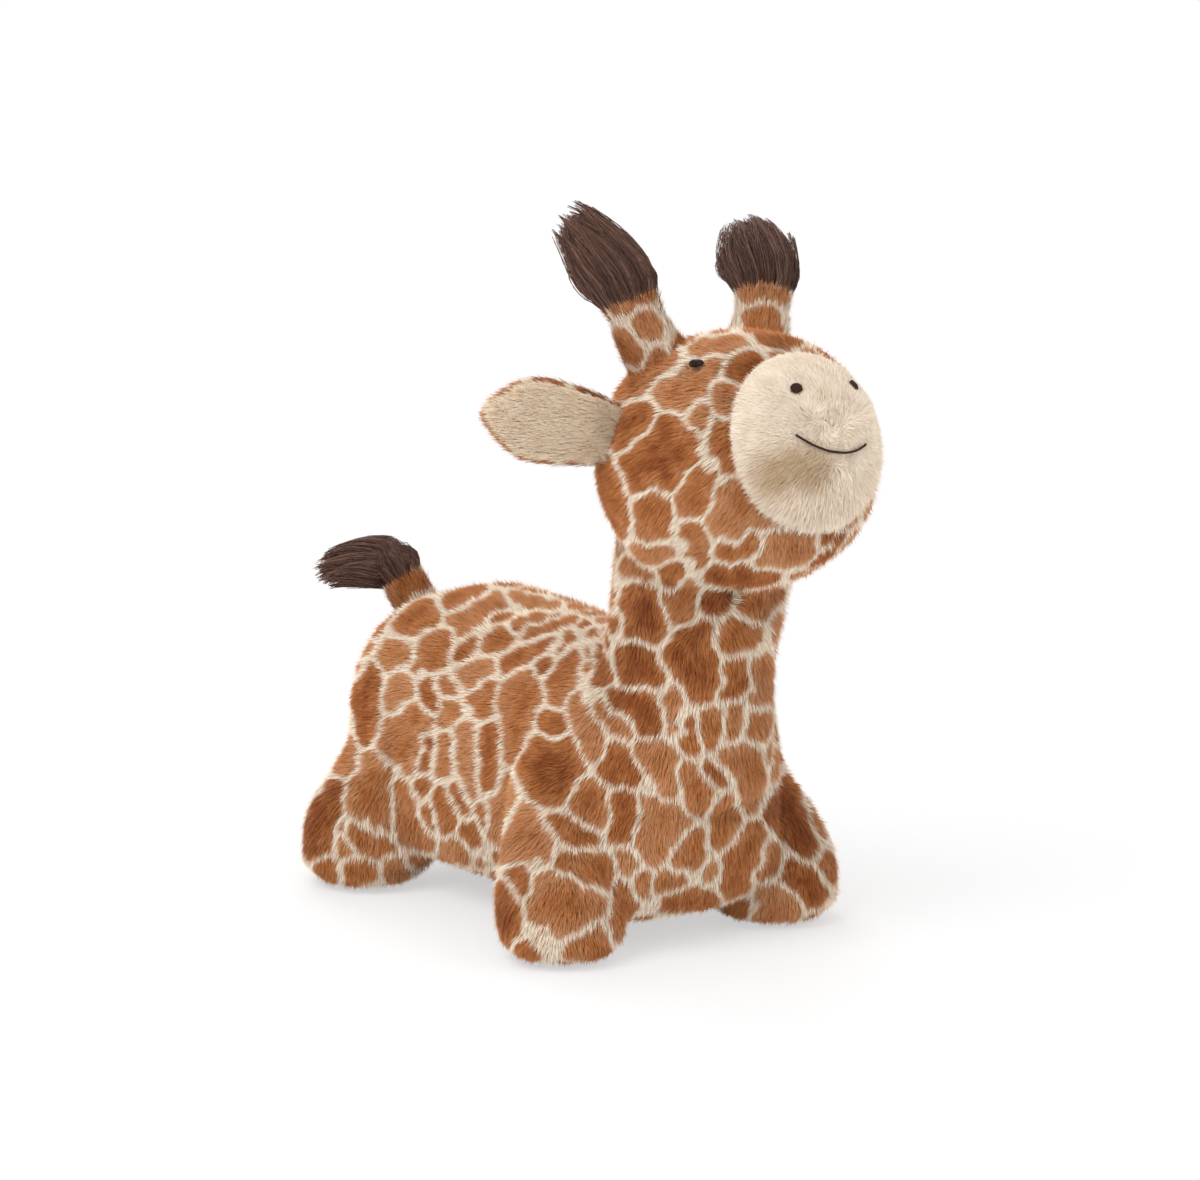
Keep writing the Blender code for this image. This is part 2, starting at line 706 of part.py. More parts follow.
def belly_zip(torso, cover, cover_low, room_low):
    """The zip along the belly: two tapes, two rows of teeth, two stops, the slider and its pull."""
    start, end = ZIP_START_Y, ZIP_START_Y + ZIP_LENGTH
    teeth_top = room_low - ZIP_SLIDER_WALL - GAP
    teeth_low = teeth_top - ZIP_TOOTH_THICK
    tooth_in = ZIP_WEB / 2 + GAP
    tooth_out = tooth_in + ZIP_TOOTH_WIDTH
    tape_in = tooth_out + GAP
    tape_out = tape_in + ZIP_TAPE
    tape_low = (teeth_top + teeth_low - ZIP_TAPE_THICK) / 2
    slot_half = ZIP_SLIDER_HALF + 2 * GAP
    slot = block((-slot_half, start, cover_low - COVER), (slot_half, end, room_low + COVER))
    recess_low = (-tape_out - GAP, start - GAP, tape_low - GAP)
    recess = block(recess_low, (tape_out + GAP, end + GAP, room_low + COVER))
    combine(cover, "DIFFERENCE", tool("zip_slot", slot, torso), tool("zip_recess", recess, torso))
    first, last = start + ZIP_STOP_LENGTH + GAP, end - ZIP_STOP_LENGTH - GAP
    count = int((last - first) / ZIP_TOOTH_PITCH)
    for side, name in ((-1, "right"), (1, "left")):
        edges = sorted((side * tape_in, side * tape_out))
        tape = block((edges[0], start, tape_low), (edges[1], end, tape_low + ZIP_TAPE_THICK))
        piece(f"zip_tape_{name}", tape, ZIP_CLOTH, torso)
        valley = side * (tooth_in + ZIP_TOOTH_WIDTH / 2)
        row = comb(side * tooth_in, valley, side * tooth_out, first, ZIP_TOOTH_PITCH, count)
        piece(f"zip_teeth_{name}", prism(row, teeth_low, teeth_top), ZIP_NYLON, torso)
    for name, y in (("zip_front_stop", start), ("zip_rear_stop", end - ZIP_STOP_LENGTH)):
        stop = block((-tooth_out, y, teeth_low), (tooth_out, y + ZIP_STOP_LENGTH, teeth_top))
        piece(name, stop, ZIP_METAL, torso)
    zip_slider(torso, first, teeth_low, teeth_top)


def zip_slider(torso, first, teeth_low, teeth_top):
    """The slider, an H in section with an arch below it, and the pull that hangs from the arch."""
    middle = first + ZIP_SLIDER_LENGTH / 2
    plate_low = teeth_low - GAP - ZIP_SLIDER_WALL
    pivot = plate_low - GAP - ZIP_TURN_ROOM
    arch_top = pivot - ZIP_TURN_ROOM - GAP
    arch_low = arch_top - ZIP_ARCH_HALF
    slide = joint("zip_slide", Vector((0, middle, plate_low)), torso)
    swing = joint("zip_pull_swing", Vector((0, middle, pivot)), slide)

    def part(half_width, front, rear, low, high):
        return block((-half_width, middle + front, low), (half_width, middle + rear, high))

    half, reach, bar, post = ZIP_SLIDER_HALF, ZIP_SLIDER_LENGTH / 2, ZIP_ARCH_HALF, ZIP_ARCH_REACH
    lower, upper = teeth_low - GAP, teeth_top + GAP
    slider = piece("zip_slider", part(half, -reach, reach, plate_low, lower), ZIP_METAL, slide)
    parts = (
        part(half, -reach, reach, upper, upper + ZIP_SLIDER_WALL),
        part(ZIP_WEB / 2, -reach, reach, plate_low, upper + GAP),
        part(bar, -post, post, arch_low, arch_top),
        part(bar, -post, bar - post, arch_low, lower - GAP),
        part(bar, post - bar, post, arch_low, lower - GAP),
    )
    for number, body in enumerate(parts):
        combine(slider, "UNION", tool(f"zip_slider_{number}", body, slide))
    thick = ZIP_PULL_THICK / 2
    tab = part(ZIP_PULL_HALF, -thick, thick, pivot - ZIP_PULL_LENGTH, pivot + thick)
    pull = piece("zip_pull", tab, ZIP_METAL, swing)
    eye = part(bar + 2 * GAP, -COVER, COVER, pivot - ZIP_EYE, pivot - thick)
    combine(pull, "DIFFERENCE", tool("zip_pull_eye", eye, swing))


def eyes(head, head_joint, cover):
    """Two black eyes, each with its shank through the cover and a washer behind it."""
    for side, name in ((-1, "right"), (1, "left")):
        angle = math.pi / 2 - side * (math.pi / 2 - EYE_ANGLE)
        point, out = head.surface(EYE_ALONG, angle)
        place = facing(point, out, head_axes()[2])
        dome = [(EYE_RADIUS * math.cos(a), EYE_BULGE * math.sin(a)) for a in EYE_STEPS]
        back = -EYE_SEAT
        profile = [(0, -COVER), (EYE_SHANK_RADIUS, -COVER), (EYE_SHANK_RADIUS, back), (EYE_RADIUS, back)]
        piece(f"eye_{name}", turned(place, profile + dome + [(0, EYE_BULGE)]), EYE_BLACK, head_joint)
        hole, inner = EYE_SHANK_RADIUS + GAP, EYE_WASHER_THICK - COVER
        rim = EYE_WASHER_RADIUS
        washer = [(hole, -COVER), (rim, -COVER), (rim, inner), (hole, inner)]
        piece(f"eye_washer_{name}", turned(place, washer, closed=True), WASHER, head_joint)
        wide, deep, proud = EYE_WASHER_RADIUS + GAP, -2 * COVER, COVER
        cut = [(0, deep), (wide, deep), (wide, inner + GAP), (hole, inner + GAP), (hole, back - GAP)]
        cut += [(EYE_RADIUS + GAP, back - GAP), (EYE_RADIUS + GAP, proud), (0, proud)]
        combine(cover, "DIFFERENCE", tool(f"eye_hole_{name}", turned(place, cut), head_joint))


def face_stitching(muzzle, head_joint, cover):
    """The two stitched nostrils and the stitched mouth, each laid into the muzzle's pile."""
    for side, name in ((-1, "right"), (1, "left")):
        point, out = on_muzzle(muzzle, side * NOSTRIL_X, NOSTRIL_UP)
        place = facing(point, out, head_axes()[2]) @ Matrix.Diagonal((NOSTRIL_WIDEN, 1, 1, 1))
        deep = -2 * STITCH_PROUD
        profile = [(0, deep), (NOSTRIL_HALF, deep), (NOSTRIL_HALF, 0)]
        profile += [(NOSTRIL_TOP_HALF, STITCH_PROUD), (0, STITCH_PROUD)]
        piece(f"nostril_{name}", turned(place, profile), THREAD, head_joint)
        wide = NOSTRIL_HALF + GAP
        cut = [(0, deep - GAP), (wide, deep - GAP), (wide, COVER), (0, COVER)]
        combine(cover, "DIFFERENCE", tool(f"nostril_seat_{name}", turned(place, cut), head_joint))
    places = []
    for k in range(MOUTH_STEPS + 1):
        x = MOUTH_HALF * (2 * k / MOUTH_STEPS - 1)
        places.append(on_muzzle(muzzle, x, MOUTH_UP + MOUTH_CURL * (x / MOUTH_HALF) ** 2)[0])
    mouth = Form(
        stations=tuple(ring(place, MOUTH_RADIUS) for place in places),
        side=Vector((0, 0, 1)),
        first_dome=MOUTH_RADIUS,
        last_dome=MOUTH_RADIUS,
        rings=MOUTH_STEPS + MOUTH_STEPS // 2,
        segments=6,
    )
    piece("mouth_stitching", mouth.skin(), THREAD, head_joint)
    combine(cover, "DIFFERENCE", tool("mouth_groove", mouth.skin(GAP), head_joint))


def ears(head, head_joint, cover):
    """Two leaf-shaped ears, each a spotted back and a cream lining, hinged at the sewn root."""
    roll = Matrix.Rotation(HEAD_ROLL, 3, head_axes()[1])
    for side, name in ((-1, "right"), (1, "left")):
        angle = math.pi / 2 - side * (math.pi / 2 - EAR_ANGLE)
        point, out = head.surface(EAR_ALONG, angle)
        pivot = point + out * EAR_STAND_OFF
        level = roll @ Vector((side * math.cos(EAR_SWEEP), math.sin(EAR_SWEEP), 0))
        up = roll @ Vector((0, 0, 1))
        along = level * math.cos(EAR_RISE) + up * math.sin(EAR_RISE)
        front = along.cross(up).normalized() * side
        flop = joint(f"ear_{name}_flop", pivot, head_joint)
        inset = front * (EAR_THICK - EAR_LINING * EAR_LINING_DEEP)
        start = pivot + along * EAR_LINING_START + inset
        back_stations = [(pivot - along * EAR_THICK, EAR_ROOT_HALF, EAR_THICK)]
        lining_stations = [(start, EAR_ROOT_HALF - EAR_RIM, EAR_LINING)]
        for share, wide, thick in EAR_SHAPE:
            reach = EAR_LENGTH * share
            shorter = min(reach, EAR_LENGTH - EAR_RIM)
            back_stations.append((pivot + along * reach, EAR_HALF * wide, EAR_THICK * thick))
            place = pivot + along * shorter + inset * thick
            lining_stations.append((place, EAR_HALF * wide - EAR_RIM, EAR_LINING))
        leaves = {"side": up, "last_dome": EAR_TIP_DOME, "rings": 4, "segments": ROUND_SEGMENTS}
        back = Form(stations=tuple(back_stations), first_dome=EAR_THICK, **leaves)
        lining = Form(stations=tuple(lining_stations), first_dome=EAR_LINING_START, **leaves)
        leaf = piece(f"ear_back_{name}", back.skin(), SPOTTED, flop)
        combine(leaf, "DIFFERENCE", tool(f"ear_pocket_{name}", lining.skin(GAP), flop))
        piece(f"ear_lining_{name}", lining.skin(), CREAM, flop)
        ball, wide = EAR_THICK + JOINT_GAP, EAR_ROOT_HALF + EAR_ROOT_ROOM
        room = facing(pivot, along, up) @ Matrix.Diagonal((ball, wide, ball, 1))
        combine(cover, "DIFFERENCE", tool(f"ear_socket_{name}", globe(room), head_joint))


def globe(place):
    """A ball of radius 1 put at a place that may stretch it."""
    mesh = bmesh.new()
    fine = {"u_segments": OUTER_SEGMENTS, "v_segments": BALL_RINGS}
    bmesh.ops.create_uvsphere(mesh, radius=1, matrix=place, **fine)
    outward(mesh)
    return mesh


@dataclass(frozen=True)
class Tufted:
    """A stuffed sleeve with a tuft of long pile at its end: a horn or the tail."""

    name: str
    radius: float  # at the root, which is a ball
    tip_radius: float
    length: float
    tuft_length: float
    tuft_half: float
    tuft_bend: Vector  # how far the tuft's tip is carried off the sleeve's line

    def build(self, carrier, along, socket_carrier, cover):
        """Makes the sleeve, its stuffing and its tuft, and the socket that its root turns in."""
        pivot = carrier.place
        side = Vector((1, 0, 0))
        middle = (self.radius + self.tip_radius) / 2
        tip = pivot + along * self.length
        outer = Form(
            stations=(
                ring(pivot - along * self.radius, self.radius),
                ring(pivot + (tip - pivot) / 2, middle),
                ring(tip, self.tip_radius),
            ),
            side=side,
            first_dome=self.radius,
            last_dome=RIM_ROUND,
            rings=2,
            segments=ROUND_SEGMENTS,
        )
        inner_radius, inner_tip = self.radius - SLEEVE, self.tip_radius - SLEEVE
        inner = Form(
            stations=(
                ring(pivot - along * inner_radius, inner_radius),
                ring(tip + along * SLEEVE, inner_tip),
            ),
            side=side,
            first_dome=inner_radius,
            last_dome=RIM_ROUND,
            rings=1,
            segments=INNER_SEGMENTS,
        )
        sleeve = piece(f"{self.name}_sleeve", outer.skin(), SPOTTED, carrier)
        combine(sleeve, "DIFFERENCE", tool(f"{self.name}_room", inner.skin(), carrier))
        end = ring(tip - along * RIM_ROUND, inner_tip)
        filling = replace(inner, stations=(inner.stations[0], end))
        piece(f"{self.name}_stuffing", filling.skin(-GAP), STUFFING, carrier)
        base = tip + along * GAP
        stations = [ring(base, self.tip_radius)]
        for share, wide, deep, bend in TUFT_SHAPE:
            place = base + along * self.tuft_length * share + self.tuft_bend * bend
            stations.append((place, self.tuft_half * wide, self.tuft_half * deep))
        tuft = Form(
            stations=tuple(stations),
            side=side,
            first_dome=RIM_ROUND,
            last_dome=self.tuft_length * TUFT_DOME,
            rings=5,
            segments=ROUND_SEGMENTS,
        )
        piece(f"{self.name}_tuft", tuft.skin(), DARK_PILE, carrier)
        ball = Matrix.Translation(pivot) @ Matrix.Scale(self.radius + JOINT_GAP, 4)
        combine(cover, "DIFFERENCE", tool(f"{self.name}_socket", globe(ball), socket_carrier))


def horns(head, head_joint, cover):
    """Two horns with dark tufts, which the rider holds."""
    roll = Matrix.Rotation(HEAD_ROLL, 3, head_axes()[1])
    for side, name in ((-1, "right"), (1, "left")):
        angle = math.pi / 2 - side * (math.pi / 2 - HORN_ANGLE)
        point, out = head.surface(HORN_ALONG, angle)
        pivot = point + out * HORN_STAND_OFF
        along = roll @ Vector((side * math.tan(HORN_OUT), math.tan(HORN_BACK), 1)).normalized()
        fall_out, fall_back, fall_up = TUFT_BENDS[name]
        bend = roll @ Vector((side * fall_out, fall_back, fall_up))
        sleeve = (HORN_RADIUS, HORN_TIP_RADIUS, HORN_LENGTH)
        limb = Tufted(f"horn_{name}", *sleeve, TUFT_LENGTH, TUFT_HALF, bend)
        limb.build(joint(f"horn_{name}_bend", pivot, head_joint), along, head_joint, cover)


def tail(trunk, torso, cover):
    """The tail, lying to the animal's right as it is worn, with a dark tuft that droops."""
    places = [trunk.first_dome * k / SPINE_STEPS for k in range(1, SPINE_STEPS)]
    along_spine = min(places, key=lambda place: abs(trunk.point(place, math.pi / 2).z - TAIL_Z))
    point, out = trunk.surface(along_spine, math.pi / 2)
    pivot = point + out * TAIL_STAND_OFF
    level = Vector((-math.sin(TAIL_SIDE), math.cos(TAIL_SIDE), 0))
    along = level * math.cos(TAIL_RISE) + Vector((0, 0, math.sin(TAIL_RISE)))
    bend = level * TAIL_TUFT_OUT - Vector((0, 0, TAIL_TUFT_DROP))
    sleeve = (TAIL_RADIUS, TAIL_TIP_RADIUS, TAIL_LENGTH)
    limb = Tufted("tail", *sleeve, TAIL_TUFT_LENGTH, TAIL_TUFT_HALF, bend)
    limb.build(joint("tail_wag", pivot, torso), along, torso, cover)


def main():
    """Builds the toy."""
    for old in list(bpy.data.objects):
        bpy.data.objects.remove(old, do_unlink=True)
    root = joint("legs", Vector((0, 0, 0)))
    root.empty.location = (LEG_CENTRE_X, LEG_CENTRE_Y, 0)
    torso = joint("bounce", Vector((0, 0, BELLY_Z)), root)
    head_joint = joint("neck_lean", Vector((0, NECK_Y, NECK_Z)), torso)
    forms, covers, bladder = sewn_cover(root, torso, head_joint)
    cover_low = lowest(forms["trunk"].skin())
    room_low = lowest(forms["trunk"].coarse().skin(-COVER))
    air_low = lowest(forms["trunk"].coarse().skin(-COVER - GAP))
    air_valve(torso, covers["trunk"], bladder, cover_low, air_low)
    belly_zip(torso, covers["trunk"], cover_low, room_low)
    eyes(forms["head"], head_joint, covers["head"])
    face_stitching(forms["muzzle"], head_joint, covers["muzzle"])
    ears(forms["head"], head_joint, covers["head"])
    horns(forms["head"], head_joint, covers["head"])
    tail(forms["trunk"], torso, covers["trunk"])


main()
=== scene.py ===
"""Dresses a bouncy ride-on giraffe: a sewn plush cover with real pile over an inflated body."""

import sys
import json
import logging
import math
from dataclasses import asdict, dataclass, field, fields, replace
from enum import Enum
from functools import cached_property

import bmesh
import bpy
import numpy as np
from bpy.types import Material, Mesh, Node, NodeSocket, Object
from mathutils import Matrix, Vector
from mathutils.bvhtree import BVHTree

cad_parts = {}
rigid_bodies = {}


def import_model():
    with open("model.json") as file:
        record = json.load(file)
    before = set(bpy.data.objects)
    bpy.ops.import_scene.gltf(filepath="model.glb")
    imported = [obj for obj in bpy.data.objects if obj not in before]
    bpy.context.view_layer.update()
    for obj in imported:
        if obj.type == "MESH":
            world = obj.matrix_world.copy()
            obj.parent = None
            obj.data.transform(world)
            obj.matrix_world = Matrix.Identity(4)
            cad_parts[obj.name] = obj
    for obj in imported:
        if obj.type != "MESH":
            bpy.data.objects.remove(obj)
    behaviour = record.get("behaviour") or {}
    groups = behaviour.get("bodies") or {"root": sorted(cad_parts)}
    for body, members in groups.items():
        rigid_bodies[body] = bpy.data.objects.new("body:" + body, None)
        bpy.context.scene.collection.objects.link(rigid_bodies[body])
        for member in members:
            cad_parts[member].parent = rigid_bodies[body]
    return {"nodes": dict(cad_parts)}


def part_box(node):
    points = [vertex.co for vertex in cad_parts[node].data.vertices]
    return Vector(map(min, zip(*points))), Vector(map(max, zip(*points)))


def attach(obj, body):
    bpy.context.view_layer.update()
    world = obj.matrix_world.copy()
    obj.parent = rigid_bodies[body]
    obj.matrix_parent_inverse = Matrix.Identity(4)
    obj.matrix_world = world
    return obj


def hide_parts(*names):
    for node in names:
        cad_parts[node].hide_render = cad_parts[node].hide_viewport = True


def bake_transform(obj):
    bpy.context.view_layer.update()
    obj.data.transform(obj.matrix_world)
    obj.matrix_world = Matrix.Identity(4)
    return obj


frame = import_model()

Pair = tuple[float, float]
Triple = tuple[float, float, float]
Quad = tuple[float, float, float, float]
Number = float | Vector
Fed = NodeSocket | float | tuple[float, ...]

log = logging.getLogger("giraffe")
LEG_CENTRE = Vector((-0.00475, 0.0503, 0.0))
ACROSS = Vector((1, 0, 0))
SEAM_DEPTH = 0.003
HAIR_GRAIN = 0.12
GOLDEN_TURN = 2.39996
WAVES = 5
WAVE_SIZES = (0.7, 1.4)
WAVE_GAIN = 1.6
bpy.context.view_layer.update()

# Places of the coat that stay cream, as lobes in dots of the picture.
PALE_PATCHES = (
    (705, 448, 7, 712, 464, 8, 722, 479, 6), (676, 527, 6, 684, 545, 7, 692, 562, 7, 699, 577, 6),
    (590, 695, 8), (470, 712, 7), (425, 675, 6), (388, 762, 5, 400, 768, 5), (540, 865, 7),
    (350, 817, 5, 365, 823, 5, 380, 829, 5, 393, 834, 5), (650, 787, 8), (760, 645, 6, 772, 654, 7),
    (533, 932, 6, 545, 938, 6, 558, 944, 6), (590, 925, 5), (755, 905, 6),
)

# Each spot seen from the front right: across, down and radius of its lobes, in dots of the picture.
BODY_SPOTS = (
    (640, 372, 17, 662, 362, 13, 630, 388, 10), (675, 393, 14, 697, 380, 14, 712, 368, 8, 685, 402, 8),
    (672, 340, 10, 688, 342, 8, 666, 333, 8, 684, 331, 8, 703, 333, 7),
    (748, 336, 6, 762, 337, 6, 776, 339, 6, 790, 342, 6, 803, 346, 5), (735, 331, 5, 722, 336, 4),
    (705, 350, 7, 725, 345, 8, 742, 340, 6), (742, 371, 9, 753, 365, 6, 735, 376, 6),
    (727, 394, 10, 724, 408, 6), (701, 417, 9, 705, 425, 6), (718, 430, 8, 725, 447, 11, 733, 462, 7),
    (620, 430, 13, 638, 420, 13, 622, 442, 8),
    (670, 432, 14, 650, 460, 20, 680, 455, 16, 640, 475, 14, 668, 475, 12, 692, 440, 7, 630, 465, 10),
    (600, 452, 8), (608, 465, 8, 612, 480, 13, 612, 502, 15, 605, 490, 10, 617, 522, 11),
    (655, 508, 14, 655, 527, 13), (702, 478, 11, 695, 497, 13, 690, 510, 8),
    (740, 500, 18, 765, 505, 15, 725, 520, 12, 735, 532, 8, 780, 515, 8, 752, 488, 9),
    (645, 552, 8, 662, 551, 8), (633, 565, 7, 645, 575, 7), (618, 560, 7, 612, 580, 8, 606, 598, 6),
    (643, 592, 11, 642, 610, 16, 650, 626, 14, 635, 628, 9), (673, 570, 7, 673, 583, 6),
    (682, 598, 13, 690, 590, 8, 685, 612, 8, 672, 595, 6), (712, 600, 10, 722, 597, 7),
    (720, 573, 10, 742, 573, 10, 765, 572, 8), (692, 528, 8, 698, 545, 7, 703, 558, 5),
    (730, 550, 9, 750, 546, 9), (775, 550, 12, 795, 545, 14, 765, 557, 8), (752, 604, 12, 772, 590, 8),
    (778, 612, 12, 780, 632, 10, 795, 590, 8), (735, 630, 11, 728, 643, 9, 747, 633, 8),
    (695, 640, 13, 680, 652, 11, 705, 660, 14, 706, 680, 13, 704, 695, 9, 690, 668, 10, 700, 628, 7),
    (636, 655, 13, 640, 670, 14, 650, 675, 9, 630, 668, 11), (603, 655, 8, 605, 672, 9),
    (590, 655, 4, 589, 668, 4), (617, 622, 6), (594, 634, 5),
    (620, 702, 10, 640, 703, 14, 652, 715, 12, 648, 726, 8), (672, 700, 7, 674, 715, 7, 677, 728, 6),
    (687, 722, 7, 688, 738, 8, 693, 745, 5), (732, 668, 9, 740, 680, 8, 728, 690, 8),
    (762, 672, 12, 768, 690, 11, 757, 700, 7, 770, 668, 8), (709, 712, 8, 710, 727, 9, 708, 737, 7),
    (735, 708, 6, 733, 722, 6, 732, 734, 5), (758, 718, 10, 756, 730, 9),
    (742, 755, 13, 750, 772, 11, 750, 790, 9, 748, 802, 7, 727, 756, 8, 735, 768, 8),
    (710, 768, 6, 720, 777, 7), (688, 772, 8, 697, 785, 11, 700, 797, 12, 695, 808, 8, 705, 792, 8),
    (722, 803, 9, 728, 818, 11, 724, 832, 9, 717, 838, 7, 716, 820, 5), (773, 758, 6, 772, 770, 5),
    (460, 601, 9, 475, 594, 8, 452, 608, 5),
    (497, 604, 8, 480, 613, 10, 462, 622, 9, 465, 634, 6, 452, 622, 5), (471, 645, 7, 460, 657, 6),
    (490, 648, 7, 505, 641, 8), (535, 636, 6, 553, 630, 6, 570, 625, 5),
    (520, 660, 6, 540, 650, 7, 510, 665, 6, 556, 642, 5), (515, 600, 4, 535, 606, 5, 555, 612, 5),
    (520, 628, 4, 540, 621, 5, 556, 618, 4), (468, 674, 8, 487, 667, 8, 472, 684, 5), (450, 690, 8),
    (478, 698, 6, 492, 692, 6, 484, 710, 7), (450, 708, 9, 446, 720, 7),
    (525, 688, 14, 512, 698, 10, 525, 710, 13, 518, 728, 12, 515, 745, 10, 535, 697, 9, 513, 757, 7),
    (547, 667, 7), (570, 668, 10, 562, 680, 12, 560, 697, 9, 575, 660, 7), (548, 720, 8, 558, 724, 9),
    (568, 640, 6, 562, 650, 4), (586, 630, 5),
    (467, 735, 9, 467, 752, 10, 469, 768, 9, 471, 785, 6, 473, 795, 4),
    (491, 735, 9, 492, 752, 10, 491, 770, 9, 490, 783, 7), (447, 742, 8, 447, 758, 8, 446, 770, 7),
    (533, 764, 14, 552, 765, 18, 575, 762, 11, 548, 785, 14, 560, 790, 10, 553, 803, 6, 541, 748, 9,
     567, 747, 8), (582, 715, 9, 592, 732, 11, 594, 750, 9, 577, 704, 6),
    (603, 711, 6, 614, 721, 7, 626, 731, 6), (617, 757, 8, 610, 770, 9, 626, 771, 10, 619, 747, 5),
    (652, 753, 12, 665, 757, 11, 668, 773, 8, 668, 788, 7, 645, 748, 7),
    (512, 780, 8, 512, 797, 11, 502, 808, 12, 500, 825, 10, 497, 835, 6, 510, 812, 9),
    (531, 818, 10, 527, 835, 16, 515, 850, 13, 535, 853, 13, 540, 838, 10),
    (592, 790, 10, 585, 805, 13, 598, 808, 10, 580, 812, 8, 595, 820, 8),
    (622, 800, 8, 627, 815, 11, 625, 833, 10, 632, 822, 8),
    (562, 823, 9, 573, 833, 11, 588, 836, 9, 555, 818, 6, 575, 843, 6),
    (652, 800, 8, 662, 818, 14, 645, 838, 13, 655, 850, 12, 675, 815, 11, 668, 830, 12, 685, 820, 7,
     650, 822, 10), (568, 861, 9, 582, 864, 12, 598, 868, 13, 603, 880, 9, 590, 876, 9),
    (520, 872, 9, 523, 887, 7), (625, 852, 6, 630, 866, 7), (641, 875, 6, 641, 886, 5),
    (665, 878, 8, 678, 875, 6), (484, 808, 5, 485, 822, 4), (483, 850, 6),
    (507, 895, 9, 508, 910, 12, 508, 925, 9, 505, 934, 4), (502, 874, 4),
    (548, 888, 13, 545, 905, 14, 565, 895, 16, 570, 910, 15, 585, 905, 13, 598, 903, 8, 570, 928, 9,
     563, 917, 10, 590, 893, 8),
    (578, 942, 9, 595, 945, 13, 608, 950, 9, 590, 958, 9, 573, 945, 6, 600, 935, 6),
    (622, 890, 8, 620, 905, 10, 617, 922, 8, 615, 932, 5),
    (528, 950, 7, 540, 958, 8, 553, 965, 7, 562, 968, 4), (538, 936, 4),
    (785, 790, 8, 780, 805, 13, 790, 820, 11, 797, 838, 11, 805, 852, 8, 770, 812, 8, 783, 832, 8),
    (823, 862, 6, 829, 873, 6), (795, 868, 11, 807, 880, 12, 812, 892, 8, 790, 875, 8),
    (828, 898, 7, 821, 911, 8, 817, 922, 4), (772, 898, 13, 783, 908, 12, 770, 912, 11, 767, 890, 7),
    (773, 848, 7, 772, 862, 8, 762, 873, 7),
    (752, 832, 9, 745, 845, 10, 735, 858, 11, 732, 873, 10, 735, 888, 9, 750, 860, 6, 740, 880, 8),
    (690, 845, 10, 683, 858, 11, 697, 836, 7, 695, 856, 7), (712, 868, 6),
    (690, 897, 8, 672, 900, 6, 707, 900, 7, 725, 908, 9, 738, 905, 8, 745, 918, 6),
    (740, 922, 6, 752, 928, 4), (800, 920, 5, 790, 927, 4),
    (425, 615, 11, 412, 627, 9, 435, 622, 8, 405, 632, 6),
    (440, 642, 12, 430, 655, 11, 444, 655, 9, 420, 665, 6), (400, 650, 11, 392, 662, 9, 407, 655, 7),
    (363, 668, 5), (373, 677, 11, 370, 695, 14, 372, 713, 12, 370, 730, 8, 362, 697, 8, 369, 740, 5),
    (400, 684, 9, 395, 697, 9, 408, 688, 8, 393, 708, 6), (427, 687, 6, 434, 700, 7, 437, 710, 4),
    (418, 718, 11, 400, 730, 14, 412, 745, 14, 388, 745, 9, 405, 757, 11, 412, 766, 6, 425, 722, 8,
     393, 722, 8), (350, 735, 8, 351, 750, 10, 348, 765, 9, 349, 725, 5),
    (430, 742, 6, 426, 757, 6, 424, 768, 5), (350, 690, 5, 346, 710, 4),
    (374, 760, 9, 378, 775, 12, 365, 790, 14, 358, 802, 11, 378, 800, 14, 382, 818, 10, 385, 828, 6,
     368, 812, 8),
    (338, 790, 7, 335, 803, 8, 333, 808, 7, 325, 815, 12, 320, 832, 13, 315, 847, 8, 328, 840, 8),
    (329, 779, 4), (344, 827, 5, 343, 842, 6, 345, 852, 4),
    (355, 835, 8, 368, 845, 10, 383, 845, 9, 392, 848, 7, 352, 828, 6, 375, 853, 6),
    (402, 788, 7, 405, 802, 11, 408, 818, 14, 405, 835, 12, 422, 838, 12, 415, 826, 10, 398, 842, 6),
    (425, 785, 8), (428, 812, 6, 434, 824, 5), (442, 793, 8, 447, 808, 10, 446, 822, 9, 452, 815, 6),
    (457, 788, 7, 462, 798, 6, 466, 808, 6), (470, 830, 7, 478, 842, 7, 482, 855, 6, 475, 825, 5),
    (453, 845, 8, 464, 852, 7, 448, 855, 5), (412, 855, 4, 422, 856, 4),
    (328, 866, 8, 335, 877, 7, 328, 885, 5), (355, 870, 9, 367, 866, 8, 348, 880, 6),
    (393, 862, 8, 397, 871, 7), (312, 868, 4, 320, 884, 4), (450, 868, 4, 470, 870, 4, 488, 872, 4),
)
TAIL_SPOTS = (
    (402, 582, 12, 420, 582, 9, 398, 598, 9), (383, 578, 9), (417, 565, 9),
)
RIGHT_HORN_SPOTS = (
    (622, 345, 12, 632, 355, 9, 612, 340, 6), (644, 322, 9, 652, 331, 8),
    (612, 306, 6, 624, 300, 8, 637, 292, 8),
)
LEFT_HORN_SPOTS = (
    (756, 318, 9, 768, 318, 9, 760, 332, 10, 772, 330, 7),
    (738, 300, 7, 750, 294, 8, 765, 292, 8, 780, 297, 6),
)


class Slot(Enum):
    """The record's material slots, which padded pieces hold; their finish comes from the workshop."""

    SPOTTED = "spotted_plush"
    BEIGE = "beige_plush"
    LONG_PILE = "dark_long_pile"
    EYE = "eye_plastic"
    THREAD = "thread"


class Named(Enum):
    """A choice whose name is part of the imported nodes' names."""

    @property
    def word(self) -> str:
        """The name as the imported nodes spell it."""
        return self.name.lower()


class Side(Named):
    """The animal's two sides, as the sign of X."""

    RIGHT = -1
    LEFT = 1


class End(Named):
    """The two ends of the trunk, as the sign of Y."""

    FRONT = -1
    REAR = 1


def at_legs(x: float, y: float, z: float) -> Vector:
    """A point given from the middle of the four legs."""
    return Vector((x, y, z)) + LEG_CENTRE


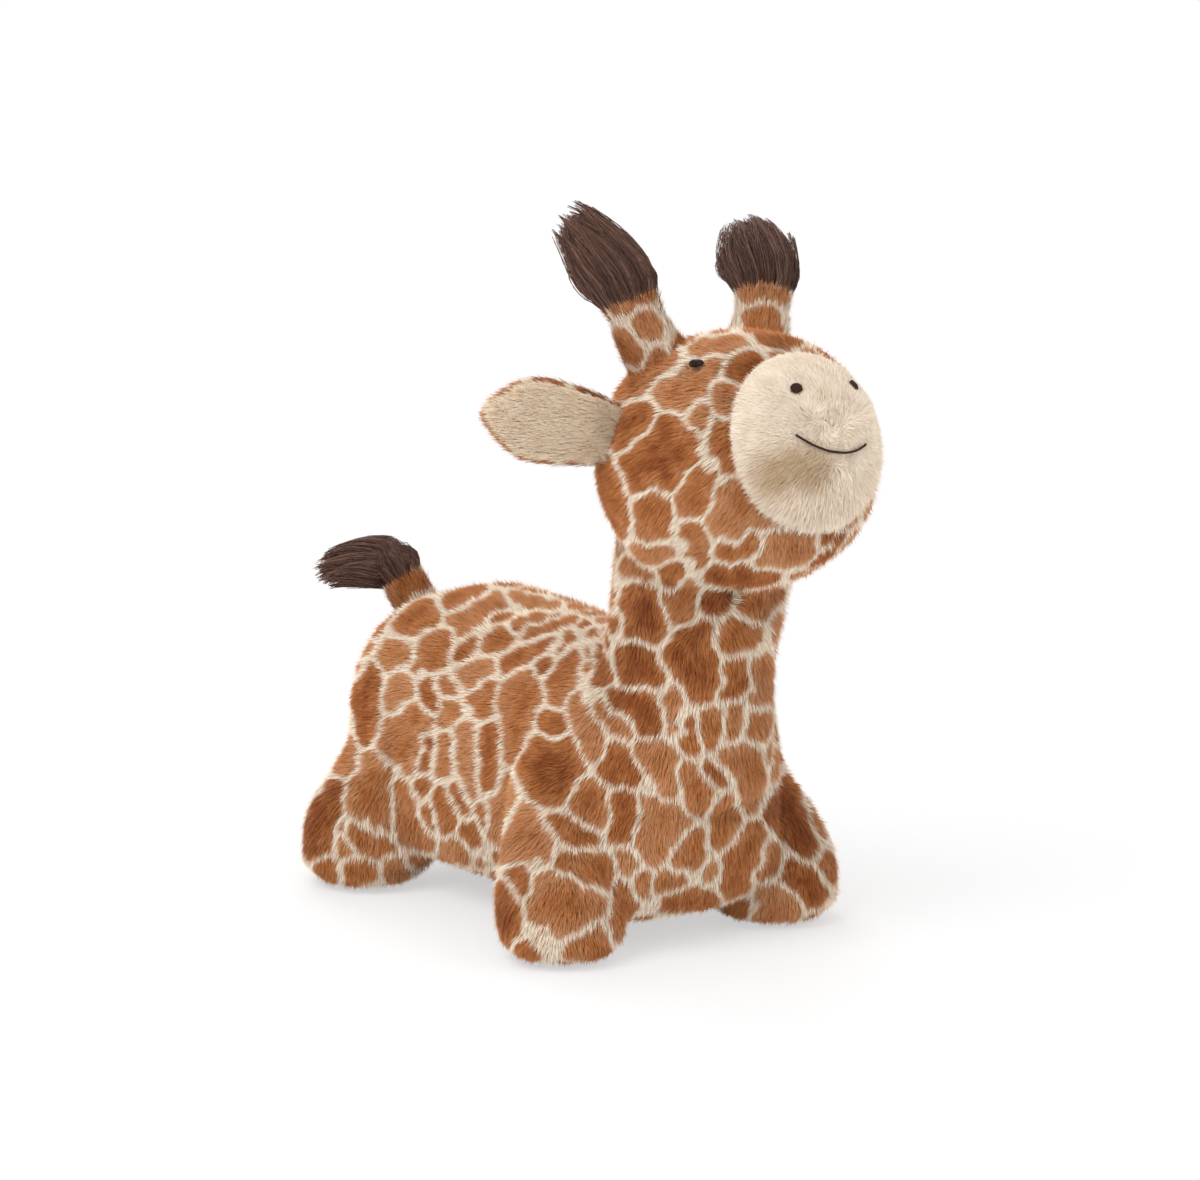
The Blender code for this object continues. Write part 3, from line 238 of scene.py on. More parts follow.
def smooth(a: Number, b: Number, c: Number, d: Number, t: float) -> Number:
    """The value at t between b and c, on a smooth curve that also minds a and d.

    Args:
        a: Value before b.
        b: Value at t = 0.
        c: Value at t = 1.
        d: Value after c.
        t: Place between b and c.

    Returns:
        A number or a vector, as the values are.
    """
    slope = (c - a) * (t / 2)
    bend = (a * 2 - b * 5 + c * 4 - d) * (t * t / 2)
    return b + slope + bend + ((b - c) * 3 - a + d) * (t**3 / 2)


def smoothstep(low: float, high: float, values: np.ndarray) -> np.ndarray:
    """A share for each value: 0 up to low, 1 from high on, and smooth in between."""
    t = np.clip((values - low) / (high - low), 0, 1)
    return t * t * (3 - 2 * t)


def smooth_cut(far: np.ndarray, cut: Triple) -> np.ndarray:
    """The pile's share so far from a thread: where it starts, over which length, and its least."""
    start, length, least = cut
    return np.clip((far - start) / length, least, 1)


def unit(vectors: np.ndarray) -> np.ndarray:
    """Each row at length 1."""
    return vectors / np.maximum(np.linalg.norm(vectors, axis=1), 1e-9)[:, None]


def wavy(points: np.ndarray, size: float, seed: int) -> np.ndarray:
    """A smooth random field, about -1 to 1.

    Args:
        points: Where to read it.
        size: Length of its waves in metres.
        seed: Seed of the waves.

    Returns:
        Three numbers for each point.
    """
    rng = np.random.default_rng(seed)
    total = np.zeros((len(points), 3))
    for _ in range(WAVES):
        ways = unit(rng.normal(size=(3, 3))) * (math.tau / size) * rng.uniform(*WAVE_SIZES)
        total += np.sin(points @ ways.T + rng.uniform(0, math.tau, 3))
    return total / WAVES * WAVE_GAIN


@dataclass(frozen=True)
class StuffedForm:
    """A closed skin round a spine, which swells and tapers from station to station."""

    stations: tuple[tuple[Vector, float, float], ...]
    side: Vector
    first_dome: float
    last_dome: float
    box: float = 2.0
    under_box: float = 0.0
    dome_box: float = 2.0
    steps: int = 60
    probe: float = 0.002

    def curve(self, place: float) -> tuple[Vector, float, float]:
        """Centre, half width and half depth at a place counted in stations.

        Args:
            place: 0 at the first station, 1 at the second, and so on.

        Returns:
            The centre and the two half sizes.
        """
        last = len(self.stations) - 1
        index = min(max(int(place), 0), last - 1)
        row = [self.stations[min(max(index + k, 0), last)] for k in (-1, 0, 1, 2)]
        return tuple(smooth(*[s[k] for s in row], place - index) for k in range(3))

    @cached_property
    def distances(self) -> list[float]:
        """How far along the spine each of the evenly numbered places lies."""
        last = len(self.stations) - 1
        places = [self.curve(last * k / self.steps)[0] for k in range(self.steps + 1)]
        total = [0.0]
        for a, b in zip(places, places[1:]):
            total.append(total[-1] + (b - a).length)
        return total

    @property
    def length(self) -> float:
        """Length of the spine."""
        return self.distances[-1]

    def at(self, along: float) -> tuple[Vector, float, float]:
        """Centre, half width and half depth at a distance along the spine.

        Args:
            along: Metres from the first station.

        Returns:
            The centre and the two half sizes.
        """
        along = min(max(along, 0.0), self.length)
        index = max(k for k in range(self.steps) if self.distances[k] <= along)
        part = (along - self.distances[index]) / (self.distances[index + 1] - self.distances[index])
        return self.curve((len(self.stations) - 1) * (index + part) / self.steps)

    def axes(self, along: float) -> tuple[Vector, Vector, Vector]:
        """Side, depth and spine directions at a distance along the spine.

        Args:
            along: Metres from the first station.

        Returns:
            Three unit vectors.
        """
        step = self.length / self.steps
        spine = (self.at(along + step)[0] - self.at(along - step)[0]).normalized()
        side = (self.side - spine * self.side.dot(spine)).normalized()
        return side, spine.cross(side), spine

    def fullness(self, along: float) -> float:
        """How full the skin is there: 1 but for the rounded ends.

        Args:
            along: Metres from the first station.

        Returns:
            A share of the half sizes.
        """
        first = max(1 - along / self.first_dome, 0.0)
        last = max(1 - (self.length - along) / self.last_dome, 0.0)
        power = self.dome_box
        return max(1 - first**power, 0.0) ** (1 / power) * max(1 - last * last, 0.0) ** 0.5

    def ring(self, along: float, angles: list[float]) -> list[Vector]:
        """Points of the skin at one distance along the spine.

        Args:
            along: Metres from the first station.
            angles: 0 is along the side and a quarter turn on along the depth.

        Returns:
            One point for each angle.
        """
        centre, wide, deep = self.at(along)
        side, depth, _ = self.axes(along)
        full = self.fullness(along)
        points = []
        for angle in angles:
            c, s = math.cos(angle), math.sin(angle)
            box = self.under_box if self.under_box and s < 0 else self.box
            x = math.copysign(abs(c) ** (2 / box), c) * wide * full
            y = math.copysign(abs(s) ** (2 / box), s) * deep * full
            points.append(centre + side * x + depth * y)
        return points

    def surface(self, along: float, angle: float) -> tuple[Vector, Vector]:
        """A point of the skin and the way straight out of it.

        Args:
            along: Metres from the first station.
            angle: Angle round the spine.

        Returns:
            The point and the way.
        """
        step = self.probe
        here, right, left = self.ring(along, [angle, angle + step, angle - step])
        down = self.ring(along + step, [angle])[0] - self.ring(along - step, [angle])[0]
        normal = (right - left).cross(down).normalized()
        return here, normal if normal.dot(here - self.at(along)[0]) > 0 else -normal

    def skin(self, rings: int, segments: int, inset: float) -> bmesh.types.BMesh:
        """The closed skin as a bmesh.

        Args:
            rings: Rings between the rounded ends; each end has a third as many.
            segments: Corners of a ring.
            inset: How far the skin lies inside the form's own surface.

        Returns:
            A new bmesh whose faces point out.
        """
        ends = max(rings // 3, 4)
        turns = [math.pi / 2 * k / ends for k in range(1, ends + 1)]
        power = 2 / self.dome_box
        start = [self.first_dome * (1 - math.cos(a) ** power) for a in turns[:-1]] + [self.first_dome]
        end = [self.length - self.last_dome * (1 - math.cos(a)) for a in turns][::-1]
        body = np.linspace(start[-1], end[0], rings + 2)[1:-1].tolist()
        rows = start + [row for row in body if end[0] > start[-1]] + end
        angles = [math.tau * (k + 0.5) / segments for k in range(segments)]
        mesh = bmesh.new()
        first = mesh.verts.new(self.at(0)[0])
        last = mesh.verts.new(self.at(self.length)[0])
        loops = [[mesh.verts.new(point) for point in self.ring(row, angles)] for row in rows]
        for a, b in zip(loops, loops[1:]):
            for k in range(segments):
                j = (k + 1) % segments
                mesh.faces.new((a[k], a[j], b[j], b[k]))
        for k in range(segments):
            j = (k + 1) % segments
            mesh.faces.new((first, loops[0][j], loops[0][k]))
            mesh.faces.new((last, loops[-1][k], loops[-1][j]))
        bmesh.ops.recalc_face_normals(mesh, faces=mesh.faces)
        if mesh.calc_volume(signed=True) < 0:
            bmesh.ops.reverse_faces(mesh, faces=mesh.faces)
        mesh.normal_update()
        moves = [vert.normal * -inset for vert in mesh.verts]
        for vert, move in zip(mesh.verts, moves):
            vert.co += move
        return mesh


@dataclass(frozen=True)
class Trunk:
    """The trunk, from rump to chest, flat along the belly."""

    belly_z: float = 0.020
    chest_y: float = -0.232
    rump_y: float = 0.218
    tops: Triple = (0.256, 0.257, 0.268)
    halves: Triple = (0.127, 0.118, 0.106)
    rump_dome: float = 0.062
    chest_dome: float = 0.080
    section: float = 2.6
    belly_section: float = 4.2

    @cached_property
    def form(self) -> StuffedForm:
        """The trunk's form."""
        saddle = (self.rump_y + self.chest_y) / 2
        rows = (
            (self.rump_y, 0),
            ((self.rump_y + saddle) / 2, 0),
            (saddle, 1),
            ((self.chest_y + saddle) / 2, 2),
            (self.chest_y, 2),
        )
        stations = []
        for y, k in rows:
            middle = at_legs(0, y, (self.tops[k] + self.belly_z) / 2)
            stations.append((middle, self.halves[k], (self.tops[k] - self.belly_z) / 2))
        ends = {"first_dome": self.rump_dome, "last_dome": self.chest_dome}
        sections = {"box": self.section, "under_box": self.belly_section}
        return StuffedForm(tuple(stations), ACROSS, **ends, **sections)


@dataclass(frozen=True)
class Leg:
    """One short leg, from its sole up to the hip."""

    side: Side
    end: End
    front_x: float = 0.112
    rear_x: float = 0.119
    leg_y: float = 0.150
    sole_cut: float = 0.0005
    shape: tuple[Triple, ...] = (
        (0.025, 0.0, 0.05725),
        (0.050, 0.0, 0.059),
        (0.115, 0.024, 0.052),
        (0.190, 0.038, 0.050),
    )
    foot_radius: float = 0.0555
    sole_dome: float = 0.026
    sole_square: float = 3.0

    @property
    def word(self) -> str:
        """The leg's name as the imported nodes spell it."""
        return f"{self.end.word}_{self.side.word}"

    @cached_property
    def form(self) -> StuffedForm:
        """The leg's form."""
        stations = []
        for z, lean, radius in ((-self.sole_cut, 0.0, self.foot_radius), *self.shape):
            x = (self.front_x if self.end is End.FRONT else self.rear_x) - lean
            place = at_legs(self.side.value * x, self.end.value * (self.leg_y - lean), z)
            stations.append((place, radius, radius))
        ends = {"first_dome": self.sole_dome, "last_dome": stations[-1][1]}
        return StuffedForm(tuple(stations), ACROSS, **ends, dome_box=self.sole_square)


@dataclass(frozen=True)
class Neck:
    """The neck, from inside the chest up into the head."""

    foot: Triple = (-0.160, 0.125, 0.091)
    middle: Triple = (-0.184, 0.270, 0.076)
    top: Triple = (-0.215, 0.400, 0.082)

    @cached_property
    def form(self) -> StuffedForm:
        """The neck's form."""
        rows = (self.foot, self.middle, self.top)
        stations = tuple((at_legs(0, y, z), radius, radius) for y, z, radius in rows)
        ends = {"first_dome": self.foot[2] / 2, "last_dome": self.top[2] / 2}
        return StuffedForm(stations, ACROSS, **ends)


@dataclass(frozen=True)
class Head:
    """The head without its muzzle, in a frame of its own: left, nose and up."""

    y: float = -0.236
    z: float = 0.441
    pitch: float = math.radians(20)
    roll: float = math.radians(-4)
    back: float = 0.113
    front: float = 0.116
    half: float = 0.113
    high: float = 0.115
    chin_low: float = 0.004
    cheek_along: float = 0.7
    cheeks: Pair = (0.098, 0.104)
    seam: Pair = (0.078, 0.086)
    muzzle_depth: float = 0.055

    @cached_property
    def axes(self) -> tuple[Vector, Vector, Vector]:
        """The head's left, the way its nose points, and its up."""
        nose = Vector((0, -math.cos(self.pitch), math.sin(self.pitch)))
        left = Matrix.Rotation(self.roll, 3, nose) @ Vector((1, 0, 0))
        return left, nose, nose.cross(left)

    @property
    def tilt(self) -> Matrix:
        """The turn that the head's roll gives to what is sewn on it."""
        return Matrix.Rotation(self.roll, 3, self.axes[1])

    @cached_property
    def form(self) -> StuffedForm:
        """The head's form."""
        left, nose, up = self.axes
        middle = at_legs(0, self.y, self.z)
        chin = up * -self.chin_low
        stations = (
            (middle - nose * self.back, self.half, self.high),
            (middle, self.half, self.high),
            (middle + nose * self.front * self.cheek_along + chin, *self.cheeks),
            (middle + nose * (self.front + self.muzzle_depth / 2) + chin, *self.seam),
        )
        return StuffedForm(stations, left, self.back, self.muzzle_depth)

    def place(self, along: float, angle: float, side: Side) -> tuple[Vector, Vector]:
        """A point of the skin so far from the head's back and so far up one side, and the way out."""
        return self.form.surface(along, math.pi / 2 - side.value * (math.pi / 2 - angle))


class NodeMaker:
    """Adds nodes to a tree and joins them."""

    def __init__(self, tree: bpy.types.NodeTree):
        """Takes the tree that the nodes go into."""
        self.tree = tree

    def feed(self, socket: NodeSocket, value: Fed) -> None:
        """Links or sets one input.

        Args:
            socket: The input.
            value: A socket, a number, a vector or a colour.
        """
        if isinstance(value, NodeSocket):
            self.tree.links.new(value, socket)
        elif isinstance(value, tuple) and len(value) == 3 and socket.type == "RGBA":
            socket.default_value = (*value, 1)
        else:
            socket.default_value = value

    def add(self, kind: str, settings: dict[str, str] | None = None, **inputs: Fed) -> Node:
        """A new node.

        Args:
            kind: Blender's name of the node type.
            settings: Properties of the node.
            inputs: Values or sockets by input name, with _ for a space.

        Returns:
            The node.
        """
        made = self.tree.nodes.new(kind)
        for name, value in (settings or {}).items():
            setattr(made, name, value)
        for name, value in inputs.items():
            word = name.replace("_", " ")
            self.feed(next(s for s in made.inputs if s.name == word and s.enabled), value)
        return made

    def math(self, operation: str, a: Fed, b: Fed = 0.0) -> NodeSocket:
        """The result of one sum.

        Args:
            operation: Blender's name of it.
            a: First number or socket.
            b: Second number or socket.

        Returns:
            The result's socket.
        """
        made = self.add("ShaderNodeMath", {"operation": operation})
        self.feed(made.inputs[0], a)
        self.feed(made.inputs[1], b)
        return made.outputs[0]

    def shown(self) -> NodeSocket:
        """A socket that is 1 for the camera, for gloss and through glass, and 0 for light on the object."""
        rays = self.add("ShaderNodeLightPath").outputs
        plain = self.math("MAXIMUM", rays["Is Camera Ray"], rays["Is Glossy Ray"])
        return self.math("MAXIMUM", plain, rays["Is Transmission Ray"])


class Painter(NodeMaker):
    """Adds nodes to a new material, from left to right."""

    def __init__(self, name: str):
        """Starts a material of that name with one Principled shader."""
        self.material = bpy.data.materials.new(name)
        self.material.use_nodes = True
        super().__init__(self.material.node_tree)
        self.shader = self.tree.nodes["Principled BSDF"]

    def attribute(self, name: str) -> NodeSocket:
        """A number held on the mesh."""
        return self.add("ShaderNodeAttribute", {"attribute_name": name}).outputs["Fac"]

    def graded(self, value: Fed, low: float, high: float, to_low: float, to_high: float) -> Fed:
        """A value moved from the range low to high into the range to_low to to_high."""
        ends = {"From_Min": low, "From_Max": high, "To_Min": to_low, "To_Max": to_high}
        return self.add("ShaderNodeMapRange", Value=value, **ends).outputs[0]

    def mix(self, share: Fed, a: Fed, b: Fed, blend: str = "MIX") -> NodeSocket:
        """Two colours mixed.

        Args:
            share: How much of b.
            a: First colour.
            b: Second colour.
            blend: Blender's name of the way.

        Returns:
            The colour's socket.
        """
        made = self.add("ShaderNodeMix", {"data_type": "RGBA", "blend_type": blend})
        for socket, value in ((made.inputs[0], share), (made.inputs[6], a), (made.inputs[7], b)):
            self.feed(socket, value)
        return made.outputs[2]

    def noise(self, scale: float, detail: float = 2.0) -> NodeSocket:
        """Grey noise on object coordinates, with so many waves in a metre."""
        where = self.add("ShaderNodeTexCoord").outputs["Object"]
        return self.add("ShaderNodeTexNoise", Vector=where, Scale=scale, Detail=detail).outputs[0]

    def bump(self, height: Fed, distance: float) -> None:
        """Puts a bump of that height and size on the shader."""
        made = self.add("ShaderNodeBump", Height=height, Distance=distance, Strength=0.6)
        self.feed(self.shader.inputs["Normal"], made.outputs[0])

    def set(self, **inputs: Fed) -> Material:
        """Sets inputs of the shader, by name with _ for a space, and gives the material."""
        for name, value in inputs.items():
            self.feed(self.shader.inputs[name.replace("_", " ")], value)
        return self.material

    def pile(self, colour: Fed, shade: Pair, root: float, sheen: float) -> Material:
        """The rest of a plush finish: each hair has its own shade at random, and painted shade darkens it
        towards its root.

        Args:
            colour: Socket of the pile's colour.
            shade: The darkest and the lightest hair.
            root: How light the painted shade leaves a root.
            sheen: How much the pile shines at its edge.

        Returns:
            The material.
        """
        own = self.graded(self.attribute("hair"), 0, 1, *shade)
        # Painted shade: each hair is darker towards its root, where the pile above shades it.
        deep = self.graded(self.attribute("tip"), 0, 0.7, root, 1.0)
        colour = self.mix(1.0, colour, self.math("MULTIPLY", own, deep), "MULTIPLY")
        rough = self.graded(self.noise(300), 0.3, 0.7, 0.62, 0.82)
        self.set(Sheen_Weight=sheen, Sheen_Roughness=0.4, Specular_IOR_Level=0.15)
        return self.set(Base_Color=colour, Roughness=rough)


@dataclass(frozen=True)
class SpottedPlush:
    """Printed short pile: reddish brown spots between cream lines."""

    cream: Triple = (0.93, 0.80, 0.64)
    brown: Triple = (0.52, 0.195, 0.062)
    deep: Triple = (0.33, 0.095, 0.026)
    pale: Triple = (0.64, 0.31, 0.145)
    sheen: float = 0.12

    def material(self) -> Material:
        """The finish, which reads each hair's spot, tone and shade.

        Returns:
            The material.
        """
        paint = Painter("spotted_plush_finish")
        patches = paint.graded(paint.noise(55), 0.3, 0.7, -0.25, 0.25)
        tone = paint.math("ADD", paint.attribute("tone"), patches)
        brown = paint.mix(paint.graded(tone, 0.0, 0.5, 0, 1), self.deep, self.brown)
        brown = paint.mix(paint.graded(tone, 0.5, 1.1, 0, 1), brown, self.pale)
        colour = paint.mix(paint.attribute("spot"), self.cream, brown)
        # Spotted roots are painted down to half as light: painted shade.
        return paint.pile(colour, (0.74, 1.14), 0.50, self.sheen)


@dataclass(frozen=True)
class PlainPlush:
    """Plain short pile in one cream colour, darker where its tone rises: at random, and in a pattern's
    patches of painted shade.
    """

    name: str
    light: Triple
    dark: Triple
    sheen: float = 0.12

    def material(self) -> Material:
        """The finish, which reads each hair's tone and shade.

        Returns:
            The material.
        """
        paint = Painter(self.name)
        patches = paint.graded(paint.noise(70), 0.3, 0.7, -0.16, 0.16)
        tone = paint.math("ADD", paint.attribute("tone"), patches)
        colour = paint.mix(paint.graded(tone, 0.0, 1.0, 0, 1), self.light, self.dark)
        # Roots are painted a little darker: painted shade.
        return paint.pile(colour, (0.90, 1.06), 0.86, self.sheen)


@dataclass(frozen=True)
class LongPile:
    """Long dark-brown pile with a soft shine."""

    dark: Triple = (0.046, 0.018, 0.012)
    light: Triple = (0.210, 0.105, 0.070)

    def material(self) -> Material:
        """The finish, which reads each hair's shade.

        Returns:
            The material.
        """
        paint = Painter("dark_long_pile_finish")
        patches = paint.graded(paint.noise(120), 0.3, 0.7, 0.5, 1.0)
        shade = paint.math("MULTIPLY", paint.attribute("hair"), patches)
        shade = paint.math("ADD", shade, paint.math("MULTIPLY", paint.attribute("tip"), 0.22))
        colour = paint.mix(shade, self.dark, self.light)
        rough = paint.graded(paint.noise(400), 0.3, 0.7, 0.45, 0.62)
        return paint.set(Base_Color=colour, Roughness=rough, Sheen_Weight=0.1, Specular_IOR_Level=0.25)


@dataclass(frozen=True)
class Moulded:
    """Plastic or metal from a mould, with fine wear in its gloss."""

    name: str
    colour: Triple
    roughness: float
    metallic: float = 0.0
    specular: float = 0.5

    def material(self) -> Material:
        """The finish.

        Returns:
            The material.
        """
        paint = Painter(self.name)
        worn = paint.noise(900, 4)
        rough = paint.graded(worn, 0.3, 0.7, self.roughness * 0.8, self.roughness * 1.25)
        darker = tuple(value * 0.82 for value in self.colour)
        colour = paint.mix(paint.graded(paint.noise(200), 0.35, 0.65, 0, 1), self.colour, darker)
        paint.bump(worn, 0.00005)
        paint.set(Metallic=self.metallic, Specular_IOR_Level=self.specular)
        return paint.set(Base_Color=colour, Roughness=rough)


@dataclass(frozen=True)
class Woven:
    """A woven tape or wound thread, with its fine ribs."""

    name: str
    colour: Triple
    rib: float = 0.0006
    roughness: float = 0.8
    sheen: float = 0.2

    def material(self) -> Material:
        """The finish.

        Returns:
            The material.
        """
        paint = Painter(self.name)
        where = paint.add("ShaderNodeTexCoord").outputs["Object"]
        waves = {"Vector": where, "Scale": 1 / self.rib / 6.28, "Distortion": 1.5, "Detail": 2.0}
        ribs = paint.add("ShaderNodeTexWave", {"bands_direction": "Y"}, **waves).outputs[1]
        # The raised crests of the ribs are painted lighter: painted highlight.
        light = tuple(min(value * 1.5, 1) for value in self.colour)
        colour = paint.mix(paint.graded(ribs, 0.2, 0.9, 0, 1), self.colour, light)
        paint.bump(ribs, self.rib / 4)
        roughest = min(self.roughness * 1.15, 1)
        rough = paint.graded(paint.noise(500), 0.3, 0.7, self.roughness * 0.9, roughest)
        paint.set(Sheen_Weight=self.sheen, Specular_IOR_Level=0.2)
        return paint.set(Base_Color=colour, Roughness=rough)


@dataclass(frozen=True)
class Studio:
    """The plain floor, the soft light and the camera at the photograph's angle."""

    target: Vector = Vector((-0.00475, -0.0097, 0.27))
    azimuth: float = math.radians(-34.6)
    elevation: float = math.radians(13.6)
    distance: float = 7.0
    lens: float = 239.45
    right: float = -0.0079
    up: float = 0.0237
    picture: Pair = (1200.0, 1180.0)
    sensor: float = 36.0
    near_floor: float = 0.32
    far_floor: float = 0.85
    near_share: float = 0.55
    floor_radius: float = 6.0
    floor_grey: float = 0.93
    room: float = 0.74
    aim: float = 0.25
    lamps: tuple[tuple[str, Triple, float, float], ...] = (
        ("key", (-2.4, -0.9, 2.9), 2.2, 68.0),
        ("fill", (1.4, -2.6, 1.3), 2.2, 16.0),
        ("back", (0.6, 2.4, 2.2), 2.0, 28.0),
    )

    @cached_property
    def axes(self) -> Matrix:
        """The view's right, up and back, as the columns of a turn."""
        out = Vector((
            math.sin(self.azimuth) * math.cos(self.elevation),
            -math.cos(self.azimuth) * math.cos(self.elevation),
            math.sin(self.elevation),
        ))
        return out.to_track_quat("Z", "Y").to_matrix()

    @property
    def place(self) -> Vector:
        """Where the camera stands."""
        return self.target + self.axes @ Vector((self.right, self.up, self.distance))

    @property
    def pixel(self) -> float:
        """Metres across one dot of the picture, at the target."""
        return self.sensor / (self.picture[0] * self.lens) * self.distance

    def sight(self, x: float, y: float) -> Vector:
        """The way in which the camera sees a dot of the picture.

        Args:
            x: Dots from the picture's left edge.
            y: Dots from its top edge.

        Returns:
            A unit vector from the camera.
        """
        wide, high = self.picture
        step = self.pixel / self.distance
        return (self.axes @ Vector(((x - wide / 2) * step, (high / 2 - y) * step, -1))).normalized()

    def camera(self) -> None:
        """Makes the camera."""
        data = bpy.data.cameras.new("view")
        data.lens = self.lens
        data.clip_end = 50
        made = add_object("view", data)
        made.matrix_world = Matrix.Translation(self.place) @ self.axes.to_4x4()
        bpy.context.scene.camera = made

    def floor(self) -> None:
        """Makes the floor: lit and shadowed by the object near it, and plain white further out."""
        shape = bmesh.new()
        bmesh.ops.create_circle(shape, cap_ends=True, segments=64, radius=self.floor_radius)
        made = add_object("floor", mesh_of("floor", shape, False))
        paint = Painter("pale_floor")
        paint.set(Base_Color=(self.floor_grey,) * 3, Roughness=0.9)
        where = paint.add("ShaderNodeTexCoord").outputs["Object"]
        reach = paint.add("ShaderNodeVectorMath", {"operation": "LENGTH"})
        paint.feed(reach.inputs[0], where)
        share = paint.graded(reach.outputs["Value"], self.near_floor, self.far_floor, self.near_share, 1.0)
        white = paint.add("ShaderNodeEmission", Color=(1.0, 1.0, 1.0), Strength=1.0)
        both = paint.add("ShaderNodeMixShader")
        shaders = (paint.math("MULTIPLY", share, paint.shown()), paint.shader.outputs[0], white.outputs[0])
        for socket, value in zip(both.inputs, shaders):
            paint.feed(socket, value)
        end = next(node for node in paint.tree.nodes if node.type == "OUTPUT_MATERIAL")
        paint.feed(end.inputs["Surface"], both.outputs[0])
        made.data.materials.append(paint.material)

    def lights(self) -> None:
        """Makes the soft boxes and the white room."""
        for name, spot, size, power in self.lamps:
            data = bpy.data.lights.new(name, "AREA")
            data.size = size
            data.energy = power
            place = Vector(spot)
            turn = (place - Vector((0, 0, self.aim))).to_track_quat("Z", "Y")
            add_object(name, data).matrix_world = Matrix.Translation(place) @ turn.to_matrix().to_4x4()
        world = bpy.data.worlds.new("white_room")
        bpy.context.scene.world = world
        world.use_nodes = True
        room = NodeMaker(world.node_tree)
        level = room.add("ShaderNodeMapRange", Value=room.shown(), To_Min=self.room, To_Max=1.0)
        box = world.node_tree.nodes["Background"]
        room.feed(box.inputs["Strength"], level.outputs[0])
        room.feed(box.inputs["Color"], (1.0, 1.0, 1.0))

    def build(self) -> None:
        """Makes all of it and sets the plain view."""
        self.camera()
        self.floor()
        self.lights()
        bpy.context.scene.view_settings.view_transform = "Standard"


@dataclass(frozen=True)
class SpotPattern:
    """Irregular spots, each a group of round lobes on the skin, with pale lines left between them.

    A lobe is a row: x, y, z, radius, number of its spot, and 1 where it was placed by sight. The
    pale lobes are places that stay cream.
    """

    lobes: np.ndarray
    view: np.ndarray
    pale: np.ndarray = field(default_factory=lambda: np.empty((0, 6)))
    grow: float = 0.0065
    depth: float = 0.28
    line: float = 0.0020
    soft: float = 0.0016
    join: float = 0.0016
    corner: float = 0.0009
    wander: float = 0.0011
    waves: Pair = (0.026, 0.010)
    fine_wave: float = 0.6
    tones: Pair = (0.1, 0.9)
    widths: Pair = (0.7, 1.4)
    rim: Pair = (0.001, 0.015)
    rim_tone: float = 0.22
    heart_tone: float = 0.50
    reach: float = 0.070
    cell: float = 0.04
    seed: int = 7

    def edges(self, here: np.ndarray, lobes: np.ndarray, depth: float) -> tuple[np.ndarray, np.ndarray]:
        """How far points lie outside the spots.

        Args:
            here: The points.
            lobes: The lobes near them, in the order of their spots.
            depth: How much of the distance along the line of sight counts.

        Returns:
            One column of distances for each spot, and the spots' numbers.
        """
        if not len(lobes):
            return np.empty((len(here), 0)), np.empty(0, int)
        turn = self.view.T * np.array([1, 1, depth])
        a, b = here @ turn, lobes[:, :3] @ turn
        square = (a * a).sum(1)[:, None] - 2 * a @ b.T + (b * b).sum(1)
        far = np.sqrt(np.maximum(square, 0)) - lobes[:, 3]
        starts = np.flatnonzero(np.diff(lobes[:, 4], prepend=-1))
        shares = np.add.reduceat(np.exp(far / -self.join), starts, axis=1)
        return -self.join * np.log(shares + 1e-35), lobes[starts, 4].astype(int)

    def marks(self, points: np.ndarray) -> tuple[np.ndarray, np.ndarray]:
        """How much each point belongs to a spot, and its spot's own tone.

        Args:
            points: The points, one a row.

        Returns:
            The spot's share, 0 on a line, and the tone, 0 to 1.
        """
        rng = np.random.default_rng(self.seed)
        count = int(self.lobes[:, 4].max()) + 1
        tones, widths = rng.uniform(*self.tones, count), rng.uniform(*self.widths, count)
        bends = wavy(points, self.waves[0], self.seed)
        bends += wavy(points, self.waves[1], self.seed + 1) * self.fine_wave
        moved = points + bends * self.wander
        spot, tone = np.zeros(len(points)), np.full(len(points), 0.5)
        cells = np.unique(np.floor(points / self.cell).astype(int), axis=0, return_inverse=True)[1].ravel()
        order = np.argsort(cells, kind="stable")
        for rows in np.split(order, np.flatnonzero(np.diff(cells[order])) + 1):
            here = moved[rows]
            gap = np.linalg.norm(self.lobes[:, :3] - here.mean(0), axis=1)
            near = self.lobes[gap < self.reach + self.lobes[:, 3]]
            by_sight = near[:, 5] > 0.5
            parts = [self.edges(here, near[by_sight], self.depth), self.edges(here, near[~by_sight], 1.0)]
            far, which = (np.concatenate([part[k] for part in parts], 1 - k) for k in (0, 1))
            if not len(which):
                continue
            own, line = far.argmin(1), np.arange(len(here))
            inside = far[line, own]
            between = (far - inside[:, None]) / 2
            between[line, own] = 1e3
            other = between.argmin(1)
            edge = -self.corner * np.log(np.exp(between / -self.corner).sum(1) + 1e-35)
            half = self.line * (widths[which[own]] + widths[which[other]]) / 2
            share = np.minimum(edge - half, self.grow - inside)
            pale = self.pale[np.linalg.norm(self.pale[:, :3] - here.mean(0), axis=1) < self.reach]
            if len(pale):
                share = np.minimum(share, self.edges(here, pale, self.depth)[0].min(1))
            spot[rows] = np.clip(share / self.soft + 0.5, 0, 1)
            heart = smoothstep(*self.rim, share)
            tone[rows] = tones[which[own]] + self.rim_tone - self.heart_tone * heart
        return spot, tone


